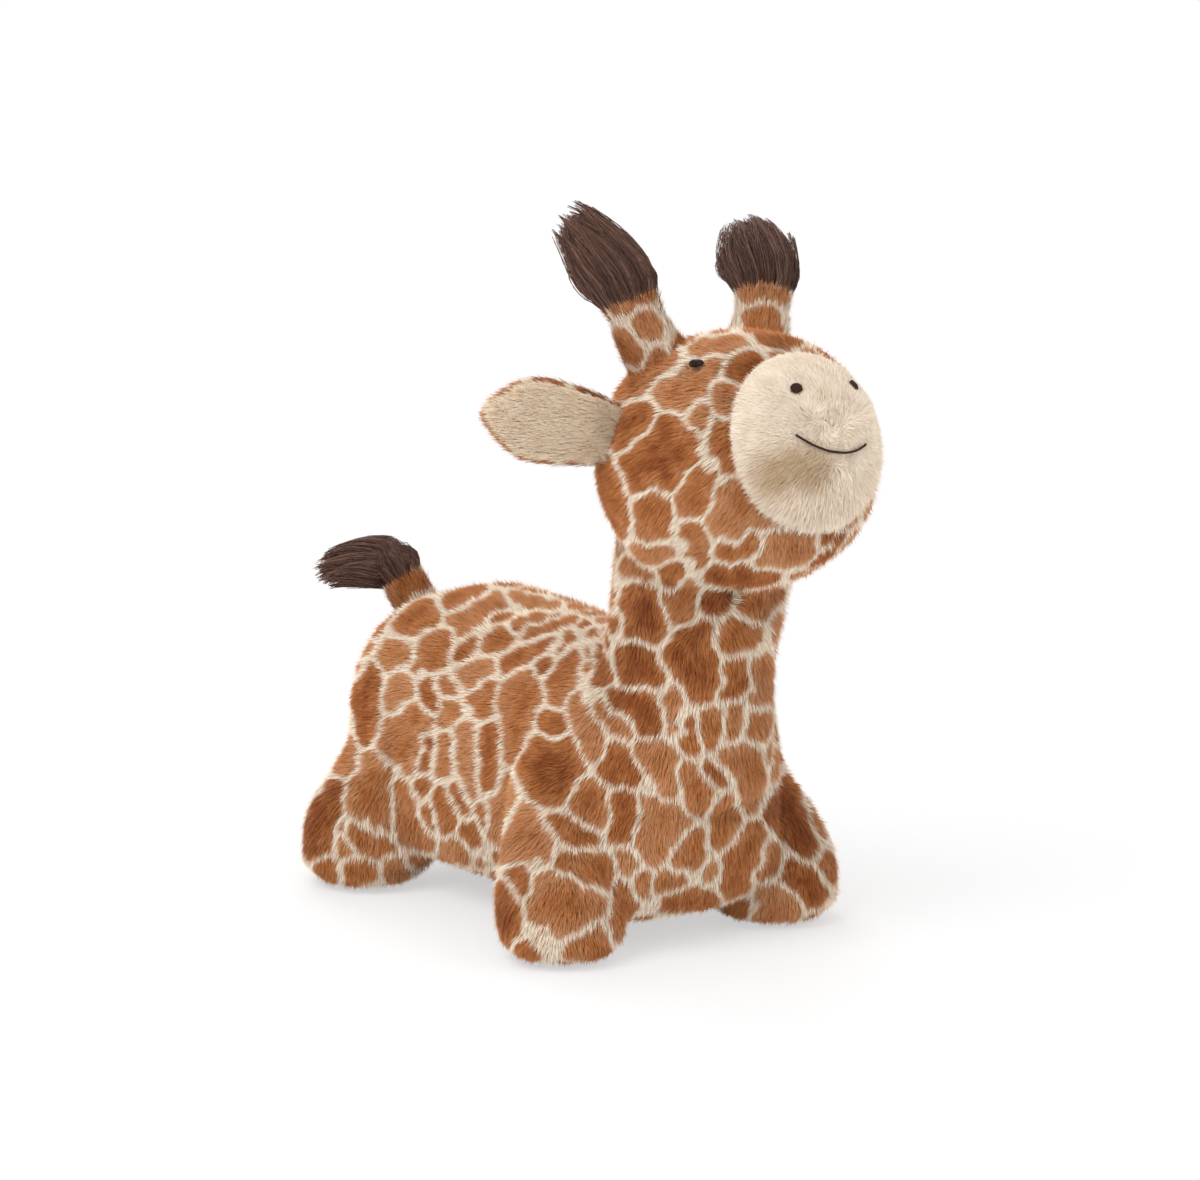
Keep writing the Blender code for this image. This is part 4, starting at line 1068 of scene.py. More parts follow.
@dataclass(frozen=True)
class Coat:
    """Which spots lie where on a skin: placed by sight where the picture shows them, scattered elsewhere."""

    studio: Studio
    spots: tuple[tuple[int, ...], ...]
    spacing: float = 0.031
    fine: float = 0.0115
    pale: tuple[tuple[int, ...], ...] = ()
    grow: float = 0.0065
    edge: float = 0.0012
    largest: float = 0.0085
    least: float = 0.0022
    apart: float = 0.004
    clear: float = 0.010
    sight_depth: float = 0.006
    tries: int = 12000
    seed: int = 5

    def by_sight(self, skin: BVHTree, spots: tuple[tuple[int, ...], ...]) -> list[tuple[float, ...]]:
        """Lays spots that the picture shows onto a skin.

        Args:
            skin: The skin.
            spots: The spots, in dots of the picture.

        Returns:
            A row for each lobe that meets the skin.
        """
        rows = []
        for number, spot in enumerate(spots):
            for x, y, radius in zip(spot[::3], spot[1::3], spot[2::3]):
                place = skin.ray_cast(self.studio.place, self.studio.sight(x, y))[0]
                if place is not None:
                    rows.append((*place, radius * self.studio.pixel, number, 1.0))
        return rows

    def picked(self, places: np.ndarray, spacing: float) -> np.ndarray:
        """Picks places at random, none too near another.

        Args:
            places: What to pick from.
            spacing: The least distance.

        Returns:
            The places picked.
        """
        kept: dict[tuple[int, ...], list[np.ndarray]] = {}
        rng = np.random.default_rng(self.seed)
        for place in places[rng.permutation(len(places))[: self.tries]]:
            cell = tuple(np.floor(place / spacing).astype(int).tolist())
            cells = [tuple(a + b - 1 for a, b in zip(cell, step)) for step in np.ndindex(3, 3, 3)]
            around = [other for near in cells for other in kept.get(near, ())]
            if not around or ((np.array(around) - place) ** 2).sum(1).min() > spacing**2:
                kept.setdefault(cell, []).append(place)
        return np.array([place for group in kept.values() for place in group])

    def shown(self, place: np.ndarray, skin: BVHTree) -> bool:
        """Whether the camera sees a place of the skin."""
        eye, point = self.studio.place, Vector(place)
        hit = skin.ray_cast(eye, (point - eye).normalized())[0]
        return hit is not None and (hit - point).length < self.sight_depth

    def lay(self, data: Mesh) -> SpotPattern:
        """Lays the whole pattern for a skin.

        Args:
            data: The skin.

        Returns:
            The pattern.
        """
        skin = tree_of(data)
        view = np.array(self.studio.axes.transposed())
        rows = self.by_sight(skin, self.spots)
        pale = np.array(self.by_sight(skin, self.pale)).reshape(-1, 6)
        places, _ = corners(data)
        middles, fine = self.picked(places, self.spacing), self.picked(places, self.fine)
        apart = np.linalg.norm(fine[:, None] - middles[None], axis=2)
        owner, nearest = apart.argmin(1), np.partition(apart, 1, axis=1)
        room = (nearest[:, 1] - nearest[:, 0]) / 2 - self.edge
        if rows:
            seen = SpotPattern(np.array(rows), view)
            far = seen.edges(fine, seen.lobes, seen.depth)[0].min(1)
            hidden = np.array([not self.shown(place, skin) for place in fine])
            room = np.where(hidden | (far > self.clear), np.minimum(room, far - self.apart), 0)
        for k in np.flatnonzero(room > self.least):
            rows.append((*fine[k], min(room[k], self.largest), len(self.spots) + owner[k], 0.0))
        lobes = np.array(rows)
        return SpotPattern(lobes[np.argsort(lobes[:, 4], kind="stable")], view, pale, self.grow)


@dataclass(frozen=True)
class PlainPattern:
    """No spots: one tone all over, deeper at each given place, where a patch of painted shade lies."""

    tone: float = 0.2
    patches: tuple[Vector, ...] = ()
    radius: float = 0.023
    edges: Pair = (1.35, 0.35)
    deep: float = 0.85

    def marks(self, points: np.ndarray) -> tuple[np.ndarray, np.ndarray]:
        """The share of spot, which is 1 all over, and the tone.

        Args:
            points: The points, one a row.

        Returns:
            Two numbers for each point.
        """
        share = np.zeros(len(points))
        # Each patch is painted shade: the tone deepens towards its middle.
        for patch in self.patches:
            far = np.linalg.norm(points - np.array(patch), axis=1)
            share = np.maximum(share, smoothstep(*self.edges, far / self.radius))
        return np.ones(len(points)), self.tone + (self.deep - self.tone) * share


@dataclass(frozen=True)
class Pile:
    """How the hairs of a fur fabric stand: all lengths in metres."""

    density: float = 1.06e6
    length: float = 0.0110
    width: float = 0.00073
    lift: float = math.radians(12)
    stray: float = 0.24
    clump: float = 0.40
    clump_scale: float = 75.0


def label(word: str) -> str:
    """A field's name as the tree's input shows it."""
    return word.replace("_", " ").title()


class PileTree(NodeMaker):
    """A Geometry Nodes tree that grows pile from a backing, combed along its comb attribute."""

    rise_lift = 0.40
    upright_lift = 0.5
    ruffle_lift = 0.75
    rarely = 6
    twist = 2.2
    lengths = (0.72, 1.18)
    other_seed = 91

    def __init__(self):
        """Builds the tree and the one hair that it repeats."""
        super().__init__(bpy.data.node_groups.new("grow_pile", "GeometryNodeTree"))
        self.sockets: dict[str, str] = {}
        kinds = {"Backing": "Geometry", "Hair": "Object", "Seed": "Int", "Finish": "Material"}
        kinds |= {label(word.name): "Float" for word in fields(Pile)}
        for name, kind in kinds.items():
            made = self.tree.interface.new_socket(name, in_out="INPUT", socket_type="NodeSocket" + kind)
            self.sockets[name] = made.identifier
        self.tree.interface.new_socket("Pile", in_out="OUTPUT", socket_type="NodeSocketGeometry")
        self.inputs = self.tree.nodes.new("NodeGroupInput")
        self.wire()
        self.hair = self.one_hair()

    def vector(self, operation: str, a: Fed, b: Fed | None = None,
               scale: Fed | None = None) -> NodeSocket:
        """The result of one vector sum.

        Args:
            operation: Blender's name of it.
            a: First vector.
            b: Second vector, where it has one.
            scale: The factor of a scaling.

        Returns:
            The result's socket.
        """
        made = self.add("ShaderNodeVectorMath", {"operation": operation})
        self.feed(made.inputs[0], a)
        if b is not None:
            self.feed(made.inputs[1], b)
        if scale is not None:
            self.feed(made.inputs["Scale"], scale)
        return made.outputs["Value" if operation == "DOT_PRODUCT" else "Vector"]

    def wire(self) -> None:
        """Joins the nodes: scatter roots, comb each hair, repeat it, keep its root."""
        given = self.inputs.outputs
        seed = given["Seed"]
        inputs = {"Mesh": given["Backing"], "Density": given["Density"], "Seed": seed}
        scatter = self.add("GeometryNodeDistributePointsOnFaces", {"distribute_method": "RANDOM"}, **inputs)
        normal = scatter.outputs["Normal"]
        place = self.add("GeometryNodeInputPosition").outputs[0]
        kept = self.store(scatter.outputs["Points"], "root", "FLOAT_VECTOR", place)
        kept = self.store(kept, "hair", "FLOAT", self.chance(seed))
        waves = self.add("ShaderNodeTexNoise", Vector=place, Scale=given["Clump Scale"], Detail=2.0)
        clump = self.vector("SUBTRACT", waves.outputs["Color"], (0.5, 0.5, 0.5))
        clump = self.vector("SCALE", clump, scale=given["Clump"])
        stray = self.add("FunctionNodeRandomValue", {"data_type": "FLOAT_VECTOR"}, Seed=seed)
        self.feed(stray.inputs["Min"], (-1.0, -1.0, -1.0))
        self.feed(stray.inputs["Max"], (1.0, 1.0, 1.0))
        loose = self.vector("SCALE", stray.outputs["Value"], scale=given["Stray"])
        comb, ruffle, reach = (self.named(word) for word in ("comb", "ruffle", "reach"))
        way = self.vector("ADD", self.vector("ADD", comb, clump), loose)
        rise = self.vector("DOT_PRODUCT", way, normal)
        flat = self.vector("SUBTRACT", way, self.vector("SCALE", normal, scale=rise))
        flat = self.vector("NORMALIZE", flat)
        upright = self.chance(self.math("ADD", seed, self.other_seed))
        lift = given["Lift"]
        for lifted, share in (
            (rise, self.rise_lift),
            (self.math("POWER", upright, self.rarely), self.upright_lift),
            (self.math("MULTIPLY", ruffle, upright), self.ruffle_lift),
        ):
            lift = self.math("ADD", lift, self.math("MULTIPLY", lifted, share))
        along = self.vector("SCALE", flat, scale=self.math("COSINE", lift))
        upward = self.vector("SCALE", normal, scale=self.math("SINE", lift))
        way = self.vector("ADD", along, upward)
        face = self.vector("ADD", normal, self.vector("SCALE", loose, scale=self.twist))
        turn = self.add("FunctionNodeAxesToRotation", {"primary_axis": "Y", "secondary_axis": "Z"})
        self.feed(turn.inputs[0], way)
        self.feed(turn.inputs[1], face)
        length = self.math("MULTIPLY", given["Length"], self.chance(seed, *self.lengths))
        length = self.math("MULTIPLY", length, reach)
        size = self.add("ShaderNodeCombineXYZ", X=given["Width"], Y=length, Z=length)
        hair = self.add("GeometryNodeObjectInfo", Object=given["Hair"])
        inputs = {"Instance": hair.outputs["Geometry"], "Rotation": turn.outputs[0], "Scale": size.outputs[0]}
        repeat = self.add("GeometryNodeInstanceOnPoints", Points=kept, **inputs)
        real = self.add("GeometryNodeRealizeInstances", Geometry=repeat.outputs[0])
        dressed = self.add("GeometryNodeSetMaterial", Geometry=real.outputs[0], Material=given["Finish"])
        end = self.tree.nodes.new("NodeGroupOutput")
        self.tree.links.new(dressed.outputs[0], end.inputs[0])

    def chance(self, seed: Fed, low: float = 0.0, high: float = 1.0) -> NodeSocket:
        """A random number for each hair, between low and high."""
        kind = {"data_type": "FLOAT"}
        return self.add("FunctionNodeRandomValue", kind, Min=low, Max=high, Seed=seed).outputs[1]

    def named(self, word: str) -> NodeSocket:
        """An attribute of the backing: the comb's direction, or one of the plain numbers."""
        kind = {"data_type": "FLOAT_VECTOR" if word == "comb" else "FLOAT"}
        return self.add("GeometryNodeInputNamedAttribute", kind, Name=word).outputs["Attribute"]

    def store(self, geometry: Fed, name: str, kind: str, value: Fed) -> NodeSocket:
        """Keeps a value on the points.

        Args:
            geometry: The points.
            name: Name of the attribute.
            kind: Its data type.
            value: What is kept.

        Returns:
            The points with it.
        """
        settings = {"data_type": kind, "domain": "POINT"}
        inputs = {"Geometry": geometry, "Name": name, "Value": value}
        return self.add("GeometryNodeStoreNamedAttribute", settings, **inputs).outputs[0]

    def one_hair(self) -> Object:
        """The hair that is repeated: a bent blade of two faces, one unit long along Y.
        """
        data = bpy.data.meshes.new("one_hair")
        blade = [(0, 0, 0), (0.5, 0.36, 0.15), (-0.5, 0.36, 0.15), (0, 1, 0.11)]
        data.from_pydata(blade, [], [(0, 1, 2), (2, 1, 3)])
        data.shade_smooth()
        tip = data.attributes.new("tip", "FLOAT", "POINT")
        tip.data.foreach_set("value", [0.0, 0.4, 0.4, 1.0])
        return add_object("one_hair", data)

    def grow(self, backing: Mesh, name: str, pile: Pile, seed: int,
             finish: Material) -> Object:
        """Grows pile on a backing and makes it a plain mesh.

        Args:
            backing: Mesh with the comb and reach attributes.
            name: Name of the new piece.
            pile: How the hairs stand.
            seed: Seed of everything random.
            finish: Material of the hairs.

        Returns:
            The pile's object.
        """
        holder = add_object(name + "_roots", backing)
        modifier = holder.modifiers.new("grow_pile", "NODES")
        modifier.node_group = self.tree
        values = {"Hair": self.hair, "Seed": seed, "Finish": finish}
        values |= {label(word): value for word, value in asdict(pile).items()}
        for word, value in values.items():
            modifier[self.sockets[word]] = value
        return add_object(name, final_mesh(holder, name))

    def remove(self) -> None:
        """Takes the one hair out of the scene."""
        bpy.data.objects.remove(self.hair)


class StrandTree(NodeMaker):
    """A Geometry Nodes tree that sweeps each curve into a tapering hair or a round thread."""

    def __init__(self, name: str, sides: int):
        """Builds the tree.

        Args:
            name: Name of the tree.
            sides: Corners of the swept section; 2 makes a flat hair.
        """
        super().__init__(bpy.data.node_groups.new(name, "GeometryNodeTree"))
        new = self.tree.interface.new_socket
        new("Curves", in_out="INPUT", socket_type="NodeSocketGeometry")
        self.width = new("Width", in_out="INPUT", socket_type="NodeSocketFloat").identifier
        self.finish = new("Finish", in_out="INPUT", socket_type="NodeSocketMaterial").identifier
        new("Strands", in_out="OUTPUT", socket_type="NodeSocketGeometry")
        given = self.add("NodeGroupInput").outputs
        halves = [self.math("MULTIPLY", given["Width"], share) for share in (0.5, -0.5)]
        if sides == 2:
            ends = [self.add("ShaderNodeCombineXYZ", X=half).outputs[0] for half in halves]
            profile = self.add("GeometryNodeCurvePrimitiveLine", Start=ends[0], End=ends[1])
        else:
            profile = self.add("GeometryNodeCurvePrimitiveCircle", Resolution=sides, Radius=halves[0])
        sweep = self.add("GeometryNodeCurveToMesh", Curve=given["Curves"], Fill_Caps=sides > 2)
        self.feed(sweep.inputs["Profile Curve"], profile.outputs[0])
        real = self.add("GeometryNodeRealizeInstances", Geometry=sweep.outputs[0])
        dressed = self.add("GeometryNodeSetMaterial", Geometry=real.outputs[0], Material=given["Finish"])
        self.feed(self.add("NodeGroupOutput").inputs[0], dressed.outputs[0])

    def sweep(self, lines: list[np.ndarray], radii: np.ndarray, tilts: np.ndarray, name: str,
              width: float, finish: Material) -> Object:
        """Sweeps lines into a plain mesh.

        Args:
            lines: The points of each line, the same number in each.
            radii: How thick each point is, as a share of the width.
            tilts: How each line's section is turned.
            name: Name of the piece.
            width: Width of the section.
            finish: Its material.

        Returns:
            The piece.
        """
        curve = bpy.data.curves.new(name + "_lines", "CURVE")
        curve.dimensions = "3D"
        for line, tilt in zip(lines, tilts):
            spline = curve.splines.new("POLY")
            spline.points.add(len(line) - 1)
            spline.points.foreach_set("co", np.concatenate([line, np.ones((len(line), 1))], 1).ravel())
            spline.points.foreach_set("radius", radii)
            spline.points.foreach_set("tilt", np.full(len(line), tilt))
        holder = add_object(name + "_lines", curve)
        modifier = holder.modifiers.new("sweep", "NODES")
        modifier.node_group = self.tree
        modifier[self.width] = width
        modifier[self.finish] = finish
        data = final_mesh(holder, name)
        data.shade_smooth()
        return add_object(name, data)


@dataclass(frozen=True)
class Workshop:
    """The trees and the finishes that the pieces share."""

    studio: Studio
    pile: PileTree
    strands: StrandTree
    threads: StrandTree
    spotted: Material
    pale: Material
    beige: Material
    dark: Material
    thread: Material
    plastic: Material


def rows_of(items: bpy.types.bpy_prop_collection, word: str) -> np.ndarray:
    """The three numbers that each vertex, face or value of a mesh has under a word.

    Args:
        items: The vertices, faces or values.
        word: Blender's name of the numbers.

    Returns:
        One row for each item.
    """
    found = np.empty(len(items) * 3, np.float32)
    items.foreach_get(word, found)
    return found.reshape(-1, 3).astype(float)


def keep(data: Mesh, name: str, values: np.ndarray) -> None:
    """Holds numbers on a mesh as a point attribute.

    Args:
        data: The mesh.
        name: The attribute.
        values: One number or one row of three for each vertex.
    """
    kind, word = ("FLOAT_VECTOR", "vector") if values.ndim == 2 else ("FLOAT", "value")
    layer = data.attributes.get(name) or data.attributes.new(name, kind, "POINT")
    layer.data.foreach_set(word, values.astype(np.float32).ravel())


def corners(data: Mesh) -> tuple[np.ndarray, np.ndarray]:
    """The places and normals of a mesh's vertices."""
    return rows_of(data.vertices, "co"), rows_of(data.vertices, "normal")


def middles_of(data: Mesh) -> np.ndarray:
    """The middle of each face of a mesh."""
    return rows_of(data.polygons, "center")


def add_object(name: str, data: bpy.types.ID) -> Object:
    """Puts a mesh, a curve, a lamp or a camera in the scene."""
    made = bpy.data.objects.new(name, data)
    bpy.context.scene.collection.objects.link(made)
    return made


def mesh_of(name: str, shape: bmesh.types.BMesh, smooth_shade: bool = True) -> Mesh:
    """A mesh from a bmesh, which this frees.

    Args:
        name: Name of the mesh.
        shape: The bmesh.
        smooth_shade: Whether its faces shade smoothly.

    Returns:
        The mesh.
    """
    data = bpy.data.meshes.new(name)
    shape.to_mesh(data)
    shape.free()
    if smooth_shade:
        data.shade_smooth()
    return data


def final_mesh(holder: Object, name: str) -> Mesh:
    """What an object's modifiers make of it, as a plain mesh in the object's place.

    Args:
        holder: The object, which this removes.
        name: Name of the mesh.

    Returns:
        The mesh.
    """
    graph = bpy.context.evaluated_depsgraph_get()
    data = bpy.data.meshes.new_from_object(holder.evaluated_get(graph))
    data.name = name
    bpy.data.objects.remove(holder)
    return data


def move_to(data: Mesh, places: np.ndarray) -> None:
    """Puts a mesh's vertices at new places."""
    data.vertices.foreach_set("co", places.astype(np.float32).ravel())


def part_of(data: Mesh, name: str, kept: np.ndarray) -> Mesh:
    """The faces of a mesh that are kept, with their attributes.

    Args:
        data: The whole mesh.
        name: Name of the new mesh.
        kept: One truth for each face.

    Returns:
        The new mesh.
    """
    shape = bmesh.new()
    shape.from_mesh(data)
    shape.faces.ensure_lookup_table()
    gone = [shape.faces[k] for k in np.flatnonzero(~kept)]
    bmesh.ops.delete(shape, geom=gone, context="FACES")
    return mesh_of(name, shape)


def lay_bake_map(data: Mesh, places: np.ndarray, normals: np.ndarray, grain: float) -> None:
    """Gives a mesh a map on which each hair lies at its root's place, on six sides of a box.

    Args:
        data: The mesh.
        places: For each vertex, the place that it takes its colour from.
        normals: For each vertex, the way out of the skin there.
        grain: How far a hair's own corners spread round that place.
    """
    own, _ = corners(data)
    low, high = places.min(0), places.max(0)
    span = (high - low).max() * 1.05 + 1e-6
    axis = np.abs(normals).argmax(1)
    side = normals[np.arange(len(axis)), axis] > 0
    tile = axis * 2 + side
    across = np.array([1, 0, 0])[axis]
    up = np.array([2, 2, 1])[axis]
    near = places + (own - places) * grain
    rows = np.arange(len(axis))
    u = ((near[rows, across] - low[across]) / span * 0.94 + 0.03 + tile % 3) / 3
    v = ((near[rows, up] - low[up]) / span * 0.94 + 0.03 + tile // 3) / 2
    layer = data.uv_layers.new(name="OFBake", do_init=False)
    which = np.empty(len(data.loops), np.int32)
    data.loops.foreach_get("vertex_index", which)
    layer.data.foreach_set("uv", np.stack([u, v], 1)[which].astype(np.float32).ravel())


def map_surface(data: Mesh) -> None:
    """Gives a panel, whose corners take their colour from where they are, its map."""
    lay_bake_map(data, *corners(data), 1.0)


def shade_backing(data: Mesh, hair: float = 0.3, tip: float = 0.2) -> None:
    """Gives a backing the shade of one hair, from the root up to so much of its length, so that it takes the
    pile's painted root shade.
    """
    for name, value in (("hair", hair), ("tip", tip)):
        keep(data, name, np.full(len(data.vertices), value))


def tree_of(data: Mesh) -> BVHTree:
    """A mesh as a tree that answers where its skin is."""
    return BVHTree.FromPolygons([v.co for v in data.vertices], [tuple(p.vertices) for p in data.polygons])


def outside(skin: BVHTree, places: np.ndarray) -> np.ndarray:
    """How far each place lies outside a closed skin, below 0 inside it.

    Args:
        skin: The skin.
        places: The places, one a row.

    Returns:
        A distance for each place.
    """
    found = np.empty(len(places))
    for k, place in enumerate(places):
        near, normal = skin.find_nearest(Vector(place))[:2]
        found[k] = (Vector(place) - near).dot(normal)
    return found


def root_into(data: Mesh, skin: BVHTree, pivot: Vector, along: Vector,
              ends: Pair) -> None:
    """Draws the root of a sewn piece down onto the skin that it is sewn to.

    Args:
        data: The piece.
        skin: The skin.
        pivot: Where the piece turns.
        along: The way it points.
        ends: Where the drawing starts and where it is full, along that way.
    """
    places, _ = corners(data)
    share = smoothstep(*ends, (places - np.array(pivot)) @ np.array(along))
    for k in np.flatnonzero(share > 0):
        near, normal = skin.find_nearest(Vector(places[k]))[:2]
        places[k] += (np.array(near - normal * SEAM_DEPTH) - places[k]) * share[k]
    move_to(data, places)
    data.update()


def comb_field(places: np.ndarray, normals: np.ndarray, way: np.ndarray) -> np.ndarray:
    """The directions pressed flat onto the skin.

    Args:
        places: The skin's points.
        normals: The way out at each.
        way: The wanted direction at each.

    Returns:
        A unit vector along the skin for each point.
    """
    flat = way - normals * (way * normals).sum(1)[:, None]
    weak = np.linalg.norm(flat, axis=1) < 0.15
    spare = np.tile([0.0, 0.3, -1.0], (len(places), 1))
    spare -= normals * (spare * normals).sum(1)[:, None]
    flat[weak] += spare[weak] * 0.5
    return unit(flat)


@dataclass
class SewnCover:
    """The plush cover of trunk, legs, neck and head: one skin, cut where joints cross it."""

    trunk: Trunk
    legs: tuple[Leg, ...]
    neck: Neck
    head: Head
    coat: Coat
    inset: float = 0.0062
    voxel: float = 0.0055
    soften: int = 9
    lumps: float = 0.0009
    lump_size: float = 0.085
    seam: float = 0.0028
    pressure: float = 4.0
    frames: int = 12
    puff: float = 0.0042
    head_from: Pair = (0.38, 0.45)
    neck_from: Pair = (0.22, 0.29)
    leg_from: Pair = (0.15, 0.07)
    leg_side_from: Pair = (0.06, 0.11)
    chest_from: Pair = (-0.05, -0.17)
    swirl: float = 0.22
    swirl_size: float = 0.055
    throat_top: Pair = (0.41, 0.35)
    throat_foot: Pair = (0.26, 0.31)
    throat_front: Pair = (-0.10, -0.20)
    throat_ruffle: float = 0.55
    ruffle_size: float = 0.045
    ruffle: Pair = (0.14, 0.16)
    head_trim: float = 0.12
    seam_slope: float = 0.23
    seam_rise: float = 0.97
    seam_height: float = 0.2715
    lean_gap: float = 0.003
    lean_end: float = 0.37
    squash_from: float = 0.004
    squash_end: float = 0.01
    leg_top: float = 0.125
    belly_top: float = 0.035
    belly_share: float = 0.4
    chest_y: float = -0.13
    rump_y: float = 0.10
    ground: float = 0.0004
    buried: float = 0.006
    eye_pile: float = -0.0045
    fitting_pile: float = 0.001
    least_pile: float = 0.08
    slot_half: float = 0.0062
    slot_wall: float = 0.0028
    slot_floor: float = 0.0316
    hole_radius: float = 0.0136
    fine_cuts: int = 4
    sole: float = 0.012
    sole_facing: float = -0.8
    pile: Pile = field(default_factory=Pile)

    def build(self) -> Mesh:
        """Joins the forms into one skin with soft valleys between them, and blows it up.

        Returns:
            The skin's mesh, with comb, reach and ruffle on it.
        """
        shape = bmesh.new()
        forms = [(self.trunk.form, 60, 72), (self.neck.form, 30, 48), (self.head.form, 36, 64)]
        forms += [(leg.form, 24, 40) for leg in self.legs]
        for form, rings, segments in forms:
            part = mesh_of("part", form.skin(rings, segments, self.inset))
            shape.from_mesh(part)
            bpy.data.meshes.remove(part)
        holder = add_object("cover_shape", mesh_of("cover_shape", shape))
        remesh = holder.modifiers.new("one_skin", "REMESH")
        remesh.mode = "VOXEL"
        remesh.voxel_size = self.voxel
        soften = holder.modifiers.new("soft_valleys", "SMOOTH")
        soften.factor = 0.5
        soften.iterations = self.soften
        data = final_mesh(holder, "cover_shape")
        data.shade_smooth()
        places, normals = corners(data)
        places += normals * (wavy(places, self.lump_size, 3)[:, :1] * self.lumps)
        move_to(data, places)
        self.blow_up(data)
        self.open_up(data)
        self.comb(data)
        return data

    def blow_up(self, data: Mesh) -> None:
        """Swells the skin as cloth under pressure, held along its middle seam.

        Args:
            data: The skin, whose vertices this moves.
        """
        places, normals = corners(data)
        holder = add_object("cover_cloth", data.copy())
        seams = holder.vertex_groups.new(name="seams")
        held = np.flatnonzero(np.abs(places[:, 0] - LEG_CENTRE.x) < self.seam)
        seams.add(held.tolist(), 1.0, "REPLACE")
        cloth = holder.modifiers.new("blown_up", "CLOTH")
        cloth.settings.use_pressure = True
        cloth.settings.uniform_pressure_force = self.pressure
        cloth.settings.effector_weights.gravity = 0
        cloth.settings.vertex_group_mass = "seams"
        cloth.point_cache.frame_end = self.frames
        for step in range(1, self.frames + 1):
            bpy.context.scene.frame_set(step)
        swollen = holder.evaluated_get(bpy.context.evaluated_depsgraph_get())
        moved, _ = corners(swollen.to_mesh())
        swollen.to_mesh_clear()
        holder.modifiers.remove(cloth)
        bpy.data.objects.remove(holder)
        bpy.context.scene.frame_set(1)
        shift = moved - places
        far = np.maximum(np.linalg.norm(shift, axis=1), 1e-9)
        log.info("cover: blown up by %.1f mm, %.1f at most", np.median(far) * 1000, far.max() * 1000)
        move_to(data, places + shift * np.minimum(1, self.puff / far)[:, None])
        data.update()

    def opening(self, places: np.ndarray) -> np.ndarray:
        """How far each point lies outside the zip's slot and the valve's round hole, in the belly's plane.

        Args:
            places: The points.

        Returns:
            A distance for each point, below 0 inside an opening.
        """
        low, high = (np.array(corner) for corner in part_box("zip_tape_left"))
        low[0], high[0] = LEG_CENTRE.x - self.slot_half, LEG_CENTRE.x + self.slot_half
        beyond = np.maximum(low - places, places - high)[:, :2]
        slot = np.where(beyond.max(1) < 0, beyond.max(1), np.linalg.norm(np.maximum(beyond, 0), axis=1))
        low, high = (np.array(corner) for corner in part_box("valve_eyelet"))
        hole = np.linalg.norm((places - (low + high) / 2)[:, :2], axis=1) - self.hole_radius
        return np.where(places[:, 2] < self.slot_floor + 0.01, np.minimum(slot, hole), 1.0)

    def open_up(self, data: Mesh) -> None:
        """Turns the cover in at the zip and at the valve, so that both can be seen and can move.

        Args:
            data: The skin, which gets finer faces there.
        """
        shape = bmesh.new()
        shape.from_mesh(data)
        far = self.opening(np.array([edge.verts[0].co + edge.verts[1].co for edge in shape.edges]) / 2)
        near = [edge for edge, gap in zip(list(shape.edges), far) if gap < 2 * self.voxel]
        bmesh.ops.subdivide_edges(shape, edges=near, cuts=self.fine_cuts, use_grid_fill=True)
        bmesh.ops.triangulate(shape, faces=[face for face in shape.faces if len(face.verts) > 4])
        shape.to_mesh(data)
        shape.free()
        places, _ = corners(data)
        turned_in = smoothstep(self.slot_wall, 0.0, self.opening(places))
        places[:, 2] += (self.slot_floor - places[:, 2]) * turned_in
        move_to(data, places)
        data.update()
        data.shade_smooth()

    def comb(self, data: Mesh) -> None:
        """Lays the pile: back along the trunk, down the neck and legs, back from the nose.

        Args:
            data: The skin.
        """
        places, normals = corners(data)
        along = self.along_neck(places)
        nose = np.array(self.head.axes[1])
        on_head = smoothstep(*self.head_from, along)
        on_neck = smoothstep(*self.neck_from, along) * (1 - on_head)
        sides = np.abs(places[:, 0] - LEG_CENTRE.x)
        on_leg = smoothstep(*self.leg_from, places[:, 2]) * smoothstep(*self.leg_side_from, sides)
        front = smoothstep(*self.chest_from, places[:, 1]) * (1 - on_head)
        on_trunk = np.clip(1 - on_head - on_neck - on_leg, 0, 1)
        way = np.zeros((len(places), 3))
        for share, direction in (
            (on_head, nose * -0.9 + (0, 0, -0.55)),
            (on_neck, (0, 0.25, -1.0)),
            (on_leg, (0, 0.25, -1.0)),
            (on_trunk, (0, 1.0, -0.5)),
            (on_trunk * front, (0, -0.7, -0.8)),
        ):
            way += share[:, None] * np.array(direction)
        throat = smoothstep(*self.throat_top, places[:, 2]) * smoothstep(*self.throat_foot, places[:, 2])
        throat *= smoothstep(*self.throat_front, places[:, 1])
        stray = self.swirl + self.throat_ruffle * throat
        way = unit(way) + wavy(places, self.swirl_size, 11) * stray[:, None]
        waves = wavy(places, self.ruffle_size, 5)[:, 0]
        ruffle = self.ruffle[0] + self.ruffle[1] * waves + self.throat_ruffle * throat
        keep(data, "comb", comb_field(places, normals, way))
        keep(data, "reach", (1 - self.head_trim * on_head) * self.parted(places))
        keep(data, "ruffle", np.clip(ruffle, 0, 1))

    def parted(self, places: np.ndarray) -> np.ndarray:
        """How long the pile may be: hardly anything at the fittings, full a finger's width from them.

        Args:
            places: The skin's points.

        Returns:
            A share of the pile's length for each point.
        """
        reach = np.ones(len(places))
        for name in frame["nodes"]:
            if name.startswith(("valve", "zip", "eye")):
                low, high = (np.array(corner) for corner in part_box(name))
                if name.startswith("eye"):
                    low = high = (low + high) / 2
                near = self.eye_pile if name.startswith("eye") else self.fitting_pile
                far = np.linalg.norm(np.maximum(np.maximum(low - places, places - high), 0), axis=1)
                reach = np.minimum(reach, np.clip((far + near) / self.pile.length, self.least_pile, 1))
        return reach

    def along_neck(self, places: np.ndarray) -> np.ndarray:
        """How far up the slanting neck each point lies."""
        return places[:, 2] * self.seam_rise - places[:, 1] * self.seam_slope

